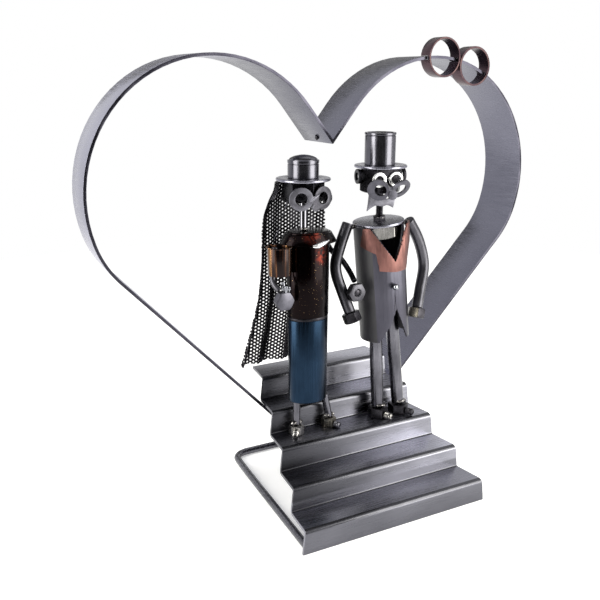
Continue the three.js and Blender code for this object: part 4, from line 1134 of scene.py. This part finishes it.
# Whether a ray comes from the camera, off metal or through glass
def addSeen(owner):
    rays = addNode(owner, "LightPath")
    first = addNode(owner, "Math", operation="ADD")
    both = addNode(owner, "Math", operation="ADD", use_clamp=True)
    wire(rays, "Is Camera Ray", first, 0)
    wire(rays, "Is Glossy Ray", first, 1)
    wire(first, "Value", both, 0)
    wire(rays, "Is Transmission Ray", both, 1)
    return both, "Value"


def makePaper():
    material, shader = startMaterial("palePaper", {
        "Base Color": (*floorLook["colour"], 1), "Roughness": floorLook["rough"], "Specular IOR Level": 0,
        "Emission Color": (1, 1, 1, 1)})
    glow = addNode(material, "Math", operation="MULTIPLY")
    wire(*addSeen(material), glow, 0)
    glow.inputs[1].default_value = floorLook["glow"]
    wire(glow, "Value", shader, "Emission Strength")
    return material


floor = addObject("paper_floor", bpy.ops.mesh.primitive_circle_add, (0, 0, -floorLook["drop"]), vertices=96,
                  radius=floorLook["radius"], fill_type="NGON")
floor.data.materials.append(makePaper())

# White where it is seen, plain light elsewhere
worldLook = {"light": 0.45, "seen": 1}
world = bpy.data.worlds.new("studio")
bpy.context.scene.world = world
world.use_nodes = True
sky = world.node_tree.nodes["Background"]
level = addNode(world, "MapRange")
setRange(level, 0, 1, worldLook["light"], worldLook["seen"])
wire(*addSeen(world), level, "Value")
wire(level, "Result", sky, "Strength")
sky.inputs["Color"].default_value = (1, 1, 1, 1)

# Two soft boxes stand at the left and the right, the third hangs above
sideBox = {"distance": 0.75, "size": (0.5, 0.9), "watts": 10, "height": 0.35, "colour": (1, 0.985, 0.9)}
lightWork = {
    "left": {"towards": (-0.991, 0.02), **sideBox},
    "right": {"towards": (0.632, -0.767), **sideBox},
    "above": {"towards": (0.1, 0.25), "distance": 0.3, "size": (0.8, 0.8), "watts": 5, "height": 1.1},
}
aimPoint = Vector((0, 0, 0.14))


def aimAt(thing, target):
    thing.rotation_euler = (target - thing.location).to_track_quat("-Z", "Y").to_euler()


for name, work in lightWork.items():
    x, y = work["towards"]
    place = (x * work["distance"], y * work["distance"], work["height"])
    lamp = addObject("softBox_" + name, bpy.ops.object.light_add, place, type="AREA")
    lamp.data.shape = "RECTANGLE"
    lamp.data.size, lamp.data.size_y = work["size"]
    lamp.data.energy = work["watts"]
    lamp.data.color = work.get("colour", (1, 1, 1))
    aimAt(lamp, Vector((0, 0, work["height"])) if name != "above" else aimPoint)

boardTurn = -28.3  # the boards stand square to the camera
boardWork = {
    "front": {"place": (-0.37, -0.68, 0.25), "size": (1.05, 0.8), "grey": 0.03},
    "back": {"place": (0.30, 0.78, 0.62), "size": (0.9, 0.5), "grey": 0.2},
    "ceiling": {"place": (0, 0, 0.95), "size": (0.8, 0.8), "grey": 0.08, "tilt": 0},
}


# Grey boards that are seen in the metal only
def makeBoard(name, work):
    board = addObject(name, bpy.ops.mesh.primitive_plane_add, work["place"], size=1)
    board.scale = (*work["size"], 1)
    board.rotation_euler = (math.radians(work.get("tilt", 90)), 0, math.radians(boardTurn))
    board.data.materials.append(startMaterial(name + "Grey", {
        "Base Color": (*[work["grey"]] * 3, 1), "Roughness": floorLook["rough"]})[0])
    board.visible_camera = False
    board.visible_diffuse = False
    board.visible_shadow = False


for name, work in boardWork.items():
    makeBoard(name + "_board", work)

cameraWork = {"place": (-0.2820, -0.4554, 0.2904), "tilt": 74.21, "turn": -28.32, "lens": 47.45, "sensor": 36}
bpy.ops.object.camera_add(location=cameraWork["place"],
                          rotation=(math.radians(cameraWork["tilt"]), 0, math.radians(cameraWork["turn"])))
camera = bpy.context.object
camera.data.lens = cameraWork["lens"]
camera.data.sensor_width = cameraWork["sensor"]
camera.data.clip_start = 0.01
bpy.context.scene.camera = camera
bpy.context.scene.view_settings.view_transform = "Standard"
print("stage, light and camera set")
